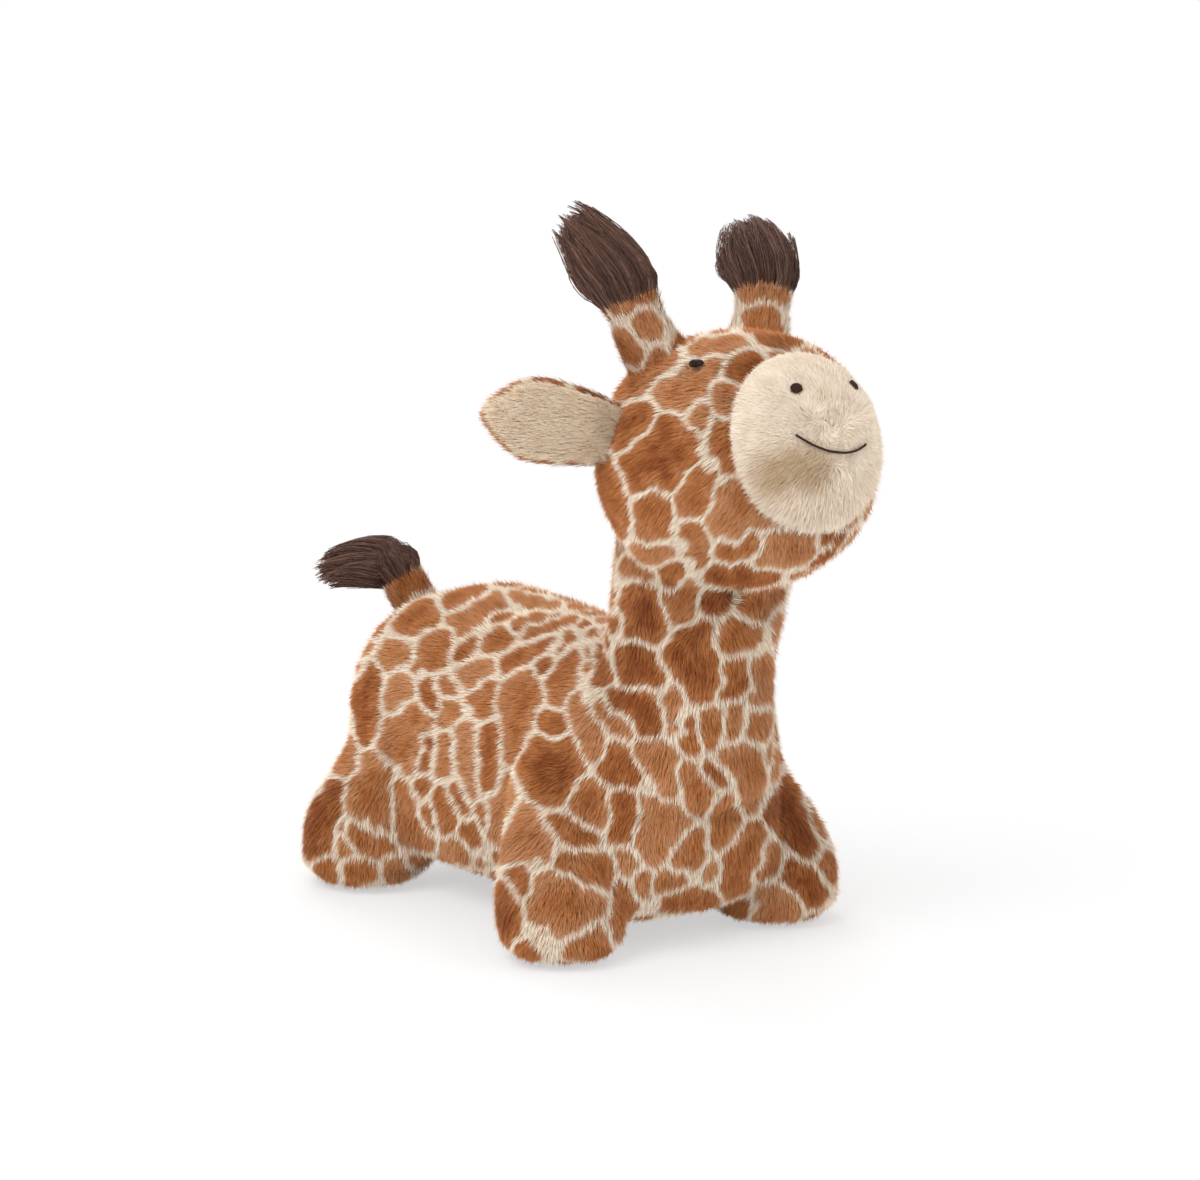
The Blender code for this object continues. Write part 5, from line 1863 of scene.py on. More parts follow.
    def labels(self, data: Mesh) -> np.ndarray:
        """Which panel each face belongs to: 0 trunk, 1 to 4 the legs, 5 neck and head.

        Args:
            data: The skin.

        Returns:
            A number for each face.
        """
        middles = middles_of(data)
        found = np.zeros(len(middles), int)
        forms = [self.trunk.form, *[leg.form for leg in self.legs]]
        trees = [BVHTree.FromBMesh(form.skin(30, 40, self.inset)) for form in forms]
        for k in np.flatnonzero(middles[:, 2] < self.leg_top):
            place = Vector(middles[k])
            found[k] = int(np.argmin([tree.find_nearest(place)[3] for tree in trees]))
        found[self.along_neck(middles) > self.seam_height] = 5
        return found

    def dress(self, shop: Workshop, muzzle: BVHTree) -> BVHTree:
        """Cuts the skin into its panels, grows their pile and hands the trunk's pieces to the torso.

        Args:
            shop: The trees and finishes.
            muzzle: The muzzle's skin, under which no pile grows.

        Returns:
            The skin.
        """
        data = self.build()
        pattern = self.coat.lay(data)
        log.info("coat: %d lobes", len(pattern.lobes))
        for name, values in zip(("spot", "tone"), pattern.marks(corners(data)[0])):
            keep(data, name, values)
        # The skin's panels take the painted root shade of a hair.
        shade_backing(data)
        labels = self.labels(data)
        x, y, z = middles_of(data).T
        up = self.along_neck(np.stack([x, y, z], 1))
        panels = [("trunk_panel", labels == 0, ["trunk_cover", "inflatable_body"])]
        for k, leg in enumerate(self.legs):
            panels.append((f"{leg.word}_leg_panel", labels == k + 1, [f"{leg.word}_leg_cover"]))
        panels.append(("neck_and_head_panel", labels == 5, ["neck_cover", "head_cover"]))
        for name, kept, nodes in panels:
            made = add_object(name, part_of(data, name, kept))
            made.data.materials.append(shop.spotted)
            map_surface(made.data)
            self.hand_over(made, name)
            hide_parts(*nodes)
            log.info("%s: %d faces", name, len(made.data.polygons))
        right = x < LEG_CENTRE.x
        labels[outside(muzzle, middles_of(data)) < -self.buried] = 6
        labels[self.opening(middles_of(data)) < self.slot_wall] = 6
        facing = np.array([face.normal.z for face in data.polygons])
        labels[(z < self.sole) & (facing < self.sole_facing)] = 6
        belly = (labels == 0) & (z < self.belly_top)
        trunk, upper = (labels == 0) & ~belly, labels == 5
        side, rump = trunk & (y >= self.chest_y) & (y < self.rump_y), trunk & (y >= self.rump_y)
        high = upper & (up >= self.lean_end)
        pieces = [
            ("belly_pile", belly),
            ("chest_pile", trunk & (y < self.chest_y)),
            ("right_side_pile", side & right),
            ("left_side_pile", side & ~right),
            ("right_rump_pile", rump & right),
            ("left_rump_pile", rump & ~right),
            ("neck_pile", upper & ~high),
            ("right_head_pile", high & right),
            ("left_head_pile", high & ~right),
        ]
        pieces += [(f"{leg.word}_leg_pile", labels == k + 1) for k, leg in enumerate(self.legs)]
        for seed, (name, kept) in enumerate(pieces):
            roots = part_of(data, name + "_roots", kept)
            share = self.belly_share if name == "belly_pile" else 1.0
            pile = replace(self.pile, density=self.pile.density * share)
            made = shop.pile.grow(roots, name, pile, seed, shop.spotted)
            colour_hairs(made, pattern, self.ground)
            self.hand_over(made, name)
            log.info("%s: %d hairs", name, len(made.data.polygons) // 2)
        return tree_of(data)

    def hand_over(self, made: Object, name: str) -> None:
        """Lets a trunk panel or its pile move with the torso; a leg, neck or head piece only gets its place
        baked into its mesh.

        Args:
            made: The piece.
            name: Its name, which says where it lies.
        """
        if "leg" in name:
            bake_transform(made)
        elif "head" in name or "neck" in name:
            normal = Vector((0, -self.seam_slope, self.seam_rise))
            normal /= self.seam_rise**2 + self.seam_slope**2
            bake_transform(made)
        else:
            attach(made, "torso")


def colour_hairs(made: Object, pattern: SpotPattern | PlainPattern,
                 ground: float | None = None) -> None:
    """Gives each hair the colour of the spot or line that it lies on, and its place on the bake map.

    Args:
        made: The pile.
        pattern: The spots.
        ground: Height that no hair goes below, if there is one.
    """
    roots = rows_of(made.data.attributes["root"].data, "vector")
    places, ways = corners(made.data)
    spot, tone = pattern.marks((roots[::4] + places[3::4]) / 2)
    keep(made.data, "spot", np.repeat(spot, 4))
    keep(made.data, "tone", np.repeat(tone, 4))
    if ground is not None:
        places[:, 2] = np.maximum(places[:, 2], ground)
        move_to(made.data, places)
    lay_bake_map(made.data, roots, np.repeat(ways[::4], 4, axis=0), HAIR_GRAIN)


@dataclass(frozen=True)
class Hold:
    """What a sewn piece moves with: one body; a piece that names a parent is left unattached, with its place
    baked into its mesh.
    """

    body: str
    parent: str = ""
    start: Vector = Vector()
    end: Vector = Vector()

    def take(self, piece: Object) -> None:
        """Hands a piece to its body, or, where a parent is named, only bakes its place into its mesh."""
        if self.parent:
            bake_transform(piece)
        else:
            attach(piece, self.body)


@dataclass(frozen=True)
class Fluffy:
    """A small padded piece with its own pile."""

    name: str
    hold: Hold
    nodes: tuple[str, ...]
    slot: Slot
    fill: float = 0.8
    sewn_to: BVHTree | None = None
    buried: float = 0.005

    def make(self, shop: Workshop, data: Mesh, way: np.ndarray, pile: Pile,
             finish: Material, seed: int, pattern: SpotPattern | PlainPattern,
             reach: np.ndarray | float = 1.0, ruffle: np.ndarray | float = 0.1) -> None:
        """Makes the panel and the pile on it.

        Args:
            shop: The trees and finishes.
            data: The backing, closed.
            way: The direction in which its pile is combed, all over or for each vertex.
            pile: How the hairs stand.
            finish: Material of both.
            seed: Seed of the pile.
            pattern: Its spots or its plain tone.
            reach: How much of the pile's length its hairs have.
            ruffle: How much they stand up.
        """
        places, normals = corners(data)
        count = len(places)
        way = np.broadcast_to(np.array(way, float), (count, 3))
        keep(data, "comb", comb_field(places, normals, way))
        for name, share in (("reach", reach), ("ruffle", ruffle)):
            keep(data, name, np.broadcast_to(np.array(share, float), count))
        kept = np.full(len(data.polygons), True)
        if self.sewn_to:
            kept = outside(self.sewn_to, middles_of(data)) > -self.buried
        roots = part_of(data, self.name + "_roots", kept)
        hairs = shop.pile.grow(roots, self.name + "_pile", pile, seed, finish)
        colour_hairs(hairs, pattern)
        panel = add_object(self.name + "_panel", data)
        for name, values in zip(("spot", "tone"), pattern.marks(places)):
            keep(data, name, values)
        # The panel takes the painted root shade of a hair.
        shade_backing(data)
        map_surface(data)
        data.materials.append(finish)
        for made in (panel, hairs):
            self.hold.take(made)
        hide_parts(*self.nodes)
        log.info("%s: %d hairs", hairs.name, len(hairs.data.polygons) // 2)


@dataclass(frozen=True)
class Muzzle:
    """The pale muzzle: a round dome that swells out of the head, with its stitched nostrils and mouth."""

    head: Head
    half: float = 0.071
    high: float = 0.075
    low: float = 0.001
    root: float = 0.9
    inset: float = 0.0030
    nostril: Pair = (0.0325, 0.0395)
    nostril_across: float = 0.0050
    nostril_size: Pair = (0.0052, 0.0048)
    mouth_half: float = 0.034
    mouth_curl: float = 0.012
    mouth_up: float = -0.0178
    mouth_across: float = -0.0035
    mouth_slope: float = 0.0058
    radii: tuple[float, ...] = (0.75, 1.0, 1.05, 1.05, 1.0, 0.75)
    nostril_stitches: int = 9
    nostril_thread: float = 0.00136
    nostril_bulge: float = 0.0016
    widest: float = 0.86
    slant: float = 0.0004
    mouth_stitches: int = 12
    mouth_arch: float = 0.0009
    mouth_sunk: float = 0.0004
    nostril_cut: Triple = (0.0045, 0.008, 0.10)
    mouth_cut: Triple = (0.0010, 0.009, 0.22)
    whorl_up: float = -0.002
    whorl: Pair = (0.010, 0.045)
    chin_from: Pair = (0.01, -0.06)
    upper_reach: float = 0.72
    chin_reach: float = 0.48
    ruffle: Pair = (0.05, 0.35)
    seed: int = 41
    mouth_thread: float = 0.00208
    # Dots of the picture where the lower muzzle's tone is deepened: painted shade.
    tan: tuple[Pair, ...] = ((775, 474), (795, 466), (812, 468))
    pile: Pile = Pile(2.0e6, 0.0104, 0.0007, math.radians(10), clump=0.30, stray=0.18)

    @cached_property
    def form(self) -> StuffedForm:
        """The muzzle's form."""
        left, nose, up = self.head.axes
        depth = self.head.muzzle_depth
        seam = at_legs(0, self.head.y, self.head.z) + nose * self.head.front - up * self.low
        stations = (
            (seam - nose * depth, self.half * self.root, self.high * self.root),
            (seam, self.half, self.high),
            (seam + nose * depth, self.half, self.high),
        )
        return StuffedForm(stations, left, depth / 2, depth)

    def on(self, x: float, up: float) -> tuple[Vector, Vector]:
        """A point of the dome and the way out of it.

        Args:
            x: How far across from its middle.
            up: How far up from its middle.

        Returns:
            The point and the way.
        """
        full = math.hypot(x / self.half, up / self.high)
        along = self.form.length - self.form.last_dome * (1 - math.sqrt(1 - full * full))
        return self.form.surface(along, math.atan2(up, x))

    def mouth(self, count: int) -> list[tuple[Vector, Vector]]:
        """Points along the mouth, each with the way out of the muzzle.

        Args:
            count: How many.

        Returns:
            The points from the animal's right to its left.
        """
        found = []
        for t in np.linspace(-1, 1, count):
            up = self.mouth_up + self.mouth_curl * t * t - self.mouth_slope * t
            found.append(self.on(self.mouth_across + self.mouth_half * t, up))
        return found

    @property
    def skin(self) -> Mesh:
        """The muzzle's backing."""
        return mesh_of("muzzle_panel", self.form.skin(30, 72, self.inset))

    def hole(self, side: Side) -> tuple[Vector, Vector]:
        """The middle of a nostril and the way out of the muzzle."""
        return self.on(self.nostril_across + side.value * self.nostril[0], self.nostril[1])

    def dress(self, shop: Workshop, cover: BVHTree) -> None:
        """Makes the muzzle's panel, its pile, the nostrils and the mouth.

        Args:
            shop: The trees and finishes.
            cover: The cover's skin, inside which no pile grows.
        """
        data = self.skin
        places, _ = corners(data)
        skin = tree_of(data)
        eye, sight = shop.studio.place, shop.studio.sight
        # Places of the painted shade on the lower muzzle.
        patches = tuple(skin.ray_cast(eye, sight(*dot))[0] for dot in self.tan)
        whorl = places - np.array(self.on(0.0, self.whorl_up)[0])
        parting = smoothstep(*self.whorl, np.linalg.norm(whorl, axis=1))[:, None]
        way = unit(whorl) * parting + wavy(places, 0.035, 9) * (1 - parting * 0.8)
        reach = np.ones(len(places))
        for side in Side:
            hole = np.array(self.hole(side)[0])
            far = np.linalg.norm(places - hole, axis=1)
            reach = np.minimum(reach, smooth_cut(far, self.nostril_cut))
        line = np.array([point for point, _ in self.mouth(25)])
        far = np.linalg.norm(places[:, None] - line[None], axis=2).min(1)
        reach = np.minimum(reach, smooth_cut(far, self.mouth_cut))
        height = (places - np.array(self.on(0, 0)[0])) @ np.array(self.head.axes[2])
        lower = smoothstep(*self.chin_from, height)
        reach *= self.upper_reach + self.chin_reach * lower
        part = Fluffy("muzzle", Hold("head"), ("muzzle_cover",), Slot.BEIGE, 0.9, cover)
        # Cream tone, deepened round those places: painted shade.
        pattern = PlainPattern(0.12, patches)
        ruffle = self.ruffle[0] + self.ruffle[1] * lower
        part.make(shop, data, way, self.pile, shop.pale, self.seed, pattern, reach, ruffle)
        self.nostrils(shop)
        self.stitch_mouth(shop)

    def nostrils(self, shop: Workshop) -> None:
        """Sews the nostrils, each a row of stitches that fills an oval.

        Args:
            shop: The trees and finishes.
        """
        for side in Side:
            middle, out = self.hole(side)
            up = (self.head.axes[2] - out * self.head.axes[2].dot(out)).normalized()
            across = up.cross(out)
            wide, high = self.nostril_size
            lines = []
            for x in np.linspace(-self.widest, self.widest, self.nostril_stitches):
                reach = high * math.sqrt(1 - x * x)
                row = []
                for y in np.linspace(-1, 1, len(self.radii)):
                    lift = self.nostril_bulge * ((1 - 0.55 * y * y) * (1 - 0.4 * x * x) - 1)
                    row.append(middle + across * (wide * x) + up * (reach * y + self.slant * x) + out * lift)
                lines.append(np.array(row))
            self.sew(shop, lines, f"nostril_{side.word}", self.nostril_thread)

    def stitch_mouth(self, shop: Workshop) -> None:
        """Sews the mouth, a line of stitches that each start where the last one ends.

        Args:
            shop: The trees and finishes.
        """
        each = len(self.radii)
        places = self.mouth(self.mouth_stitches * (each - 1) + 1)
        lines = []
        for start in range(0, len(places) - 1, each - 1):
            row = []
            for k in range(each):
                point, out = places[start + k]
                arch = math.sin(math.pi * (k + 0.6) / 6.2)
                row.append(point + out * (self.mouth_arch * arch - self.mouth_sunk))
            lines.append(np.array(row))
        self.sew(shop, lines, "mouth", self.mouth_thread)

    def sew(self, shop: Workshop, lines: list[np.ndarray], word: str, width: float) -> None:
        """Makes stitches of dark thread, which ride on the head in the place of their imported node.

        Args:
            shop: The trees and finishes.
            lines: The points of each stitch.
            word: How the node's name starts.
            width: Thickness of the thread.
        """
        radii, tilts = np.array(self.radii), np.zeros(len(lines))
        made = shop.threads.sweep(lines, radii, tilts, word + "_stitches", width, shop.thread)
        map_surface(made.data)
        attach(made, "head")
        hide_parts(*[name for name in frame["nodes"] if name.startswith(word)])
        log.info("%s: %d faces", made.name, len(made.data.polygons))


@dataclass(frozen=True)
class Eye:
    """A black eye: a glossy dome in the pile, narrower up and down than along the head."""

    head: Head
    side: Side
    along: float = 0.181
    angle: float = math.radians(49.5)
    radius: float = 0.0085
    open: float = 0.0045
    bulge: float = 0.0038
    seat: float = 0.0010
    sunk: float = 0.0015
    corners: int = 40

    def dress(self, shop: Workshop) -> None:
        """Makes the dome.

        Args:
            shop: The trees and finishes.
        """
        middle, out = self.head.place(self.along, self.angle, self.side)
        nose = self.head.axes[1]
        level = (nose - out * nose.dot(out)).normalized()
        across = out.cross(level)
        shape = bmesh.new()
        rows = []
        for turn in np.linspace(0, math.pi / 2, 11)[:-1]:
            wide, deep = (size * math.cos(turn) for size in (self.radius, self.open))
            high = self.bulge * math.sin(turn) - self.seat
            row = []
            for angle in np.linspace(0, math.tau, self.corners + 1)[:-1]:
                place = middle + level * (wide * math.cos(angle)) + across * (deep * math.sin(angle))
                row.append(shape.verts.new(place + out * high))
            rows.append(row)
        top = shape.verts.new(middle + out * (self.bulge - self.seat))
        base = shape.verts.new(middle - out * (self.seat + self.sunk))
        for a, b in zip(rows, rows[1:]):
            for k in range(self.corners):
                shape.faces.new((a[k - 1], a[k], b[k], b[k - 1]))
        for k in range(self.corners):
            shape.faces.new((rows[-1][k - 1], rows[-1][k], top))
            shape.faces.new((rows[0][k], rows[0][k - 1], base))
        bmesh.ops.recalc_face_normals(shape, faces=shape.faces)
        dome = add_object(f"eye_{self.side.word}_dome", mesh_of(f"eye_{self.side.word}_dome", shape))
        dome.data.materials.append(shop.plastic)
        map_surface(dome.data)
        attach(dome, "head")
        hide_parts(f"eye_{self.side.word}")


@dataclass(frozen=True)
class Ear:
    """A leaf-shaped ear: a spotted back and a beige lining, sewn to the head at its root."""

    head: Head
    side: Side
    length: float = 0.103
    root_half: float = 0.029
    half: float = 0.036
    thick: float = 0.0075
    shape: tuple[Triple, ...] = ((0.30, 0.98, 1.0), (0.62, 1.0, 0.85), (1.0, 0.50, 0.7))
    tip_dome: float = 0.034
    lining: float = 0.0035
    lining_start: float = -0.006
    lining_deep: float = 0.5
    lining_up: float = 0.0012
    rim: float = 0.0046
    rise: float = math.radians(6)
    far_turn: float = math.radians(6)
    stand_off: float = 0.0022
    bends_over: Pair = (-0.004, 0.010)
    back_sewn_over: Pair = (0.016, 0.0)
    lining_sewn_over: Pair = (0.012, -0.004)
    seed: int = 51
    place_along: float = 0.098
    place_angle: float = math.radians(18)
    sweep: float = math.radians(36)
    inset: float = 0.0018
    pile: Pile = Pile(length=0.0095, lift=math.radians(11), density=1.0e6)
    fluff: Pile = Pile(2.1e6, 0.0100, 0.0006, math.radians(22), stray=0.42, clump=0.60, clump_scale=130)

    @cached_property
    def frame(self) -> tuple[Vector, Vector, Vector, Vector]:
        """The ear's root, the way along it, its up and its front."""
        point, out = self.head.place(self.place_along, self.place_angle, self.side)
        sign = self.side.value
        turn = self.far_turn if self.side is Side.LEFT else 0.0
        sweep, rise = self.sweep + turn, self.rise - turn
        level = self.head.tilt @ Vector((sign * math.cos(sweep), math.sin(sweep), 0))
        up = self.head.tilt @ Vector((0, 0, 1))
        along = level * math.cos(rise) + up * math.sin(rise)
        return point + out * self.stand_off, along, up, along.cross(up).normalized() * sign

    def forms(self) -> tuple[StuffedForm, StuffedForm]:
        """The forms of the back and of the lining."""
        pivot, along, up, front = self.frame
        inset = front * (self.thick - self.lining * self.lining_deep) + up * self.lining_up
        back = [(pivot - along * self.thick, self.root_half, self.thick)]
        lining = [(pivot + along * self.lining_start + inset, self.root_half - self.rim, self.lining)]
        for share, wide, thick in self.shape:
            reach = self.length * share
            back.append((pivot + along * reach, self.half * wide, self.thick * thick))
            shorter = min(reach, self.length - self.rim)
            place = pivot + along * shorter + inset * thick
            lining.append((place, self.half * wide - self.rim, self.lining))
        return (
            StuffedForm(tuple(back), up, self.thick, self.tip_dome),
            StuffedForm(tuple(lining), up, 0.006, self.tip_dome),
        )

    def dress(self, shop: Workshop, skin: BVHTree, coat: Coat) -> None:
        """Makes the ear's back and lining with their pile.

        Args:
            shop: The trees and finishes.
            skin: The cover's skin, which the ear is sewn to.
            coat: Scatters the spots of the back.
        """
        back, lining = self.forms()
        pivot, along, _, _ = self.frame
        word = self.side.word
        start, end = (pivot + along * reach for reach in self.bends_over)
        hold = Hold(f"ear_{word}", "head", start, end)
        data = mesh_of(f"ear_back_{word}_panel", back.skin(18, 40, self.inset))
        root_into(data, skin, pivot, along, self.back_sewn_over)
        outer = Fluffy(f"ear_back_{word}", hold, (f"ear_back_{word}",), Slot.SPOTTED, 0.6, skin)
        seed = self.seed + self.side.value
        outer.make(shop, data, along, self.pile, shop.spotted, seed, coat.lay(data))
        data = mesh_of(f"ear_lining_{word}_panel", lining.skin(16, 32, 0.0008))
        root_into(data, skin, pivot, along, self.lining_sewn_over)
        inner = Fluffy(f"ear_lining_{word}", hold, (f"ear_lining_{word}",), Slot.BEIGE, 0.5, skin)
        inner.make(shop, data, along, self.fluff, shop.beige, seed + 10, PlainPattern(0.28), 1.0, 0.3)


@dataclass(frozen=True)
class Tuft:
    """A tuft of long pile that grows from the end of a sleeve and sweeps to one side."""

    length: float
    half: float
    bend: Vector
    wisp: Vector
    shape: tuple[Quad, ...] = (
        (0.12, 0.96, 0.92, 0.0),
        (0.25, 1.02, 0.98, 0.03),
        (0.55, 0.96, 0.86, 0.34),
        (0.80, 0.68, 0.60, 0.70),
        (1.0, 0.30, 0.30, 1.10),
    )
    locks: int = 130
    hairs: int = 5200
    points: int = 7
    flare: float = 0.0030
    turn_stray: float = 0.15
    reaches: Pair = (0.62, 1.0)
    hair_turn: float = 0.30
    hair_out: float = 0.16
    hair_reaches: Pair = (0.80, 1.0)
    gather: float = 0.80
    wisp_from: float = 0.72
    wave: float = 0.0007
    frizz: float = 0.00025
    sunk: float = 0.006
    thickness: float = 0.00052

    def form(self, base: Vector, along: Vector, radius: float) -> StuffedForm:
        """The tuft's form.

        Args:
            base: Where it starts.
            along: The way it starts.
            radius: Radius there.

        Returns:
            The form.
        """
        stations = [(base, radius, radius)]
        for share, wide, deep, bend in self.shape:
            place = base + along * self.length * share + self.bend * bend
            stations.append((place, self.half * wide, self.half * deep))
        return StuffedForm(tuple(stations), ACROSS, 0.0006, self.length * 0.2)

    def lines(self, form: StuffedForm, along: Vector, seed: int) -> list[np.ndarray]:
        """Lines that run up through the form and gather into locks with ragged tips.

        Args:
            form: The tuft's form.
            along: The way it starts.
            seed: Seed of the places.

        Returns:
            The points of each hair.
        """
        rng = np.random.default_rng(seed)
        rows = np.linspace(0, 1, 41)
        frames = [(form.at(form.length * row), form.axes(form.length * row)) for row in rows]
        centre = np.array([f[0][0] for f in frames])
        sizes = np.array([f[0][1:] for f in frames])
        across = np.array([f[1][0] for f in frames])
        depth = np.array([f[1][1] for f in frames])
        number = np.arange(self.locks)
        lock_turn = number * GOLDEN_TURN + rng.normal(0, self.turn_stray, self.locks)
        lock_out = np.sqrt((number + 0.5) / self.locks)
        lock_reach = rng.uniform(*self.reaches, self.locks) ** 0.8 * (1.02 - 0.10 * lock_out)
        lock_flare = rng.normal(0, 1, (self.locks, 3)) * self.flare
        spread = np.linspace(0, 1, self.points)
        wisp = np.array(self.wisp)
        toward = wisp / max(float(np.linalg.norm(wisp)), 1e-9)
        found = []
        for k in range(self.hairs):
            lock = k % self.locks
            turn = lock_turn[lock] + rng.normal(0, self.hair_turn) / max(lock_out[lock], 0.25)
            out = float(np.clip(lock_out[lock] + rng.normal(0, self.hair_out), 0.03, 1.0))
            reach = lock_reach[lock] * rng.uniform(*self.hair_reaches)
            shares = reach * spread
            gather = self.gather * spread**2
            angle = turn + (lock_turn[lock] - turn) * gather
            ring = out + (lock_out[lock] - out) * gather
            place, side, down, (wide, deep) = (
                np.stack([np.interp(shares, rows, column) for column in table.T], table is not sizes)
                for table in (centre, across, depth, sizes)
            )
            offset = side * (wide * ring * np.cos(angle))[:, None]
            offset += down * (deep * ring * np.sin(angle))[:, None]
            place += offset
            place += lock_flare[lock] * (spread**2)[:, None]
            facing = float(offset[2] @ toward) / max(float(wide[2]), 1e-6)
            if facing > self.wisp_from:
                bulge = np.sin(np.pi * np.minimum(spread * 0.85 + 0.04, 1.0)) + 0.25 * spread
                place += wisp * (bulge * (facing - self.wisp_from) / (1 - self.wisp_from))[:, None]
            wave = rng.normal(0, self.wave, 3)
            wave = wave * np.sin(spread * rng.uniform(3, 7) + rng.uniform(0, 6))[:, None]
            frizz = rng.normal(0, self.frizz, (self.points, 3))
            place += wave * spread[:, None] + frizz * spread[:, None]
            place -= np.array(along) * (self.sunk * (1 - spread) ** 5)[:, None]
            found.append(place)
        return found


@dataclass(frozen=True)
class TuftedLimb:
    """A stuffed sleeve that swells out of the cover, with a dark tuft at its end: a horn or the tail."""

    name: str
    parent: str
    root: float
    radius: float
    tip_radius: float
    length: float
    tuft: Tuft
    coat: Coat
    seed: int
    root_rows: tuple[Pair, ...] = ((-0.022, 1.22), (-0.008, 1.06))
    neck: float = 0.009
    dome: float = 0.004
    bends_over: Pair = (-0.004, 0.012)
    sewn_over: Pair = (0.008, -0.014)
    hem: float = 0.0035
    hem_reach: float = 0.15
    hem_share: float = 0.97
    ruffle: float = 0.12
    tuft_gap: float = 0.0003
    heart_share: float = 0.60
    inset: float = 0.0022
    pile: Pile = Pile(length=0.0098, lift=math.radians(12), density=1.15e6)

    def dress(self, shop: Workshop, pivot: Vector, along: Vector, skin: BVHTree) -> None:
        """Makes the sleeve, its pile and the tuft.

        Args:
            shop: The trees and finishes.
            pivot: Where the limb turns.
            along: The way it points.
            skin: The cover's skin, which the sleeve is sewn to.
        """
        tip = pivot + along * self.length
        self.dress_sleeve(shop, pivot, along, skin)
        form = self.tuft.form(tip + along * self.tuft_gap, along, self.tip_radius * self.hem_share)
        pieces = (self.tuft_heart(shop, form), self.tuft_hairs(shop, form, along))
        for made in pieces:
            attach(made, self.name)
        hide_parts(f"{self.name}_tuft")
        log.info("%s: %d faces", pieces[1].name, len(pieces[1].data.polygons))

    def dress_sleeve(self, shop: Workshop, pivot: Vector, along: Vector, skin: BVHTree) -> None:
        """Makes the sleeve and its pile.

        Args:
            shop: The trees and finishes.
            pivot: Where the limb turns.
            along: The way it points.
            skin: The cover's skin, which the sleeve is sewn to.
        """
        tip = pivot + along * self.length
        rows = [(pivot + along * reach, self.root * share) for reach, share in self.root_rows]
        rows += [(pivot + along * self.neck, self.radius), (tip, self.tip_radius)]
        stations = tuple((place, size, size) for place, size in rows)
        sleeve = StuffedForm(stations, ACROSS, self.dome, self.dome)
        start, end = (pivot + along * reach for reach in self.bends_over)
        hold = Hold(self.name, self.parent, start, end)
        nodes = (f"{self.name}_sleeve", f"{self.name}_stuffing")
        data = mesh_of(f"{self.name}_sleeve_panel", sleeve.skin(18, 40, self.inset))
        root_into(data, skin, pivot, along, self.sewn_over)
        part = Fluffy(f"{self.name}_sleeve", hold, nodes, Slot.SPOTTED, sewn_to=skin)
        places, _ = corners(data)
        hem = (places - np.array(tip)) @ np.array(along)
        reach = np.where(hem > -self.hem, self.hem_reach, 1.0)
        spots = self.coat.lay(data)
        part.make(shop, data, along, self.pile, shop.spotted, self.seed, spots, reach, self.ruffle)

    def tuft_heart(self, shop: Workshop, form: StuffedForm) -> Object:
        """Makes the dark heart of the tuft, which fills the gaps between its hairs: the tuft's dark brown at
        its darkest hair shade near the root, painted shade of the tuft's inside.

        Args:
            shop: The trees and finishes.
            form: The tuft's form.

        Returns:
            The heart.
        """
        share = self.heart_share
        stations = tuple((place, wide * share, deep * share) for place, wide, deep in form.stations[:-1])
        core = StuffedForm(stations, ACROSS, form.first_dome, self.tuft.length * 0.25)
        data = mesh_of(f"{self.name}_tuft_heart", core.skin(12, 24, 0.0))
        data.materials.append(shop.dark)
        map_surface(data)
        # Darkest hair shade near the root: painted shade inside the tuft.
        shade_backing(data, 0.05, 0.1)
        return add_object(data.name, data)

    def tuft_hairs(self, shop: Workshop, form: StuffedForm, along: Vector) -> Object:
        """Makes the hairs of the tuft, each with a shade of its own and a lighter tip.

        Args:
            shop: The trees and finishes.
            form: The tuft's form.
            along: The way the limb points.

        Returns:
            The hairs.
        """
        tuft, each = self.tuft, self.tuft.points * 2
        rng = np.random.default_rng(self.seed + 1)
        spread = np.linspace(0, 1, tuft.points)
        taper = 1.0 - 0.86 * spread**1.8
        tilts = rng.uniform(0, math.pi, tuft.hairs)
        lines = tuft.lines(form, along, self.seed)
        name = f"{self.name}_tuft_hairs"
        made = shop.strands.sweep(lines, taper, tilts, name, tuft.thickness, shop.dark)
        keep(made.data, "hair", np.repeat(rng.uniform(0, 1, tuft.hairs), each))
        keep(made.data, "tip", np.tile(np.repeat(spread, 2), tuft.hairs))
        places, _ = corners(made.data)
        ways = places.reshape(tuft.hairs, each, 3).mean(1) - np.array(form.at(form.length / 2)[0])
        lay_bake_map(made.data, places, np.repeat(ways, each, axis=0), 1.0)
        return made


@dataclass(frozen=True)
class Horns:
    """The two tufted horns that the rider holds."""

    head: Head
    stand_off: float = 0.0155
    place_along: float = 0.104
    place_angle: float = math.radians(62)
    out: float = math.radians(16)
    back: float = math.radians(20)
    root: float = 0.031
    sleeve: Triple = (0.0232, 0.0238, 0.034)
    bends: tuple[tuple[Side, Triple, Triple], ...] = (
        (Side.RIGHT, (0.026, 0.022, 0.002), (0.016, 0.011, -0.002)),
        (Side.LEFT, (-0.010, 0.030, -0.014), (-0.009, 0.006, 0.0)),
    )

    def dress(self, shop: Workshop, skin: BVHTree, coats: dict[Side, Coat]) -> None:
        """Makes both horns.

        Args:
            shop: The trees and finishes.
            skin: The cover's skin.
            coats: The spots of each sleeve.
        """
        for side, bend, wisp in self.bends:
            point, way = self.head.place(self.place_along, self.place_angle, side)
            tilt = self.head.tilt
            along = tilt @ Vector((side.value * math.tan(self.out), math.tan(self.back), 1)).normalized()
            sweeps = [tilt @ Vector((side.value * x, y, z)) for x, y, z in (bend, wisp)]
            tuft = Tuft(0.072, 0.029, *sweeps)
            name, seed = f"horn_{side.word}", 71 + side.value
            limb = TuftedLimb(name, "head", self.root, *self.sleeve, tuft, coats[side], seed)
            limb.dress(shop, point + way * self.stand_off, along, skin)


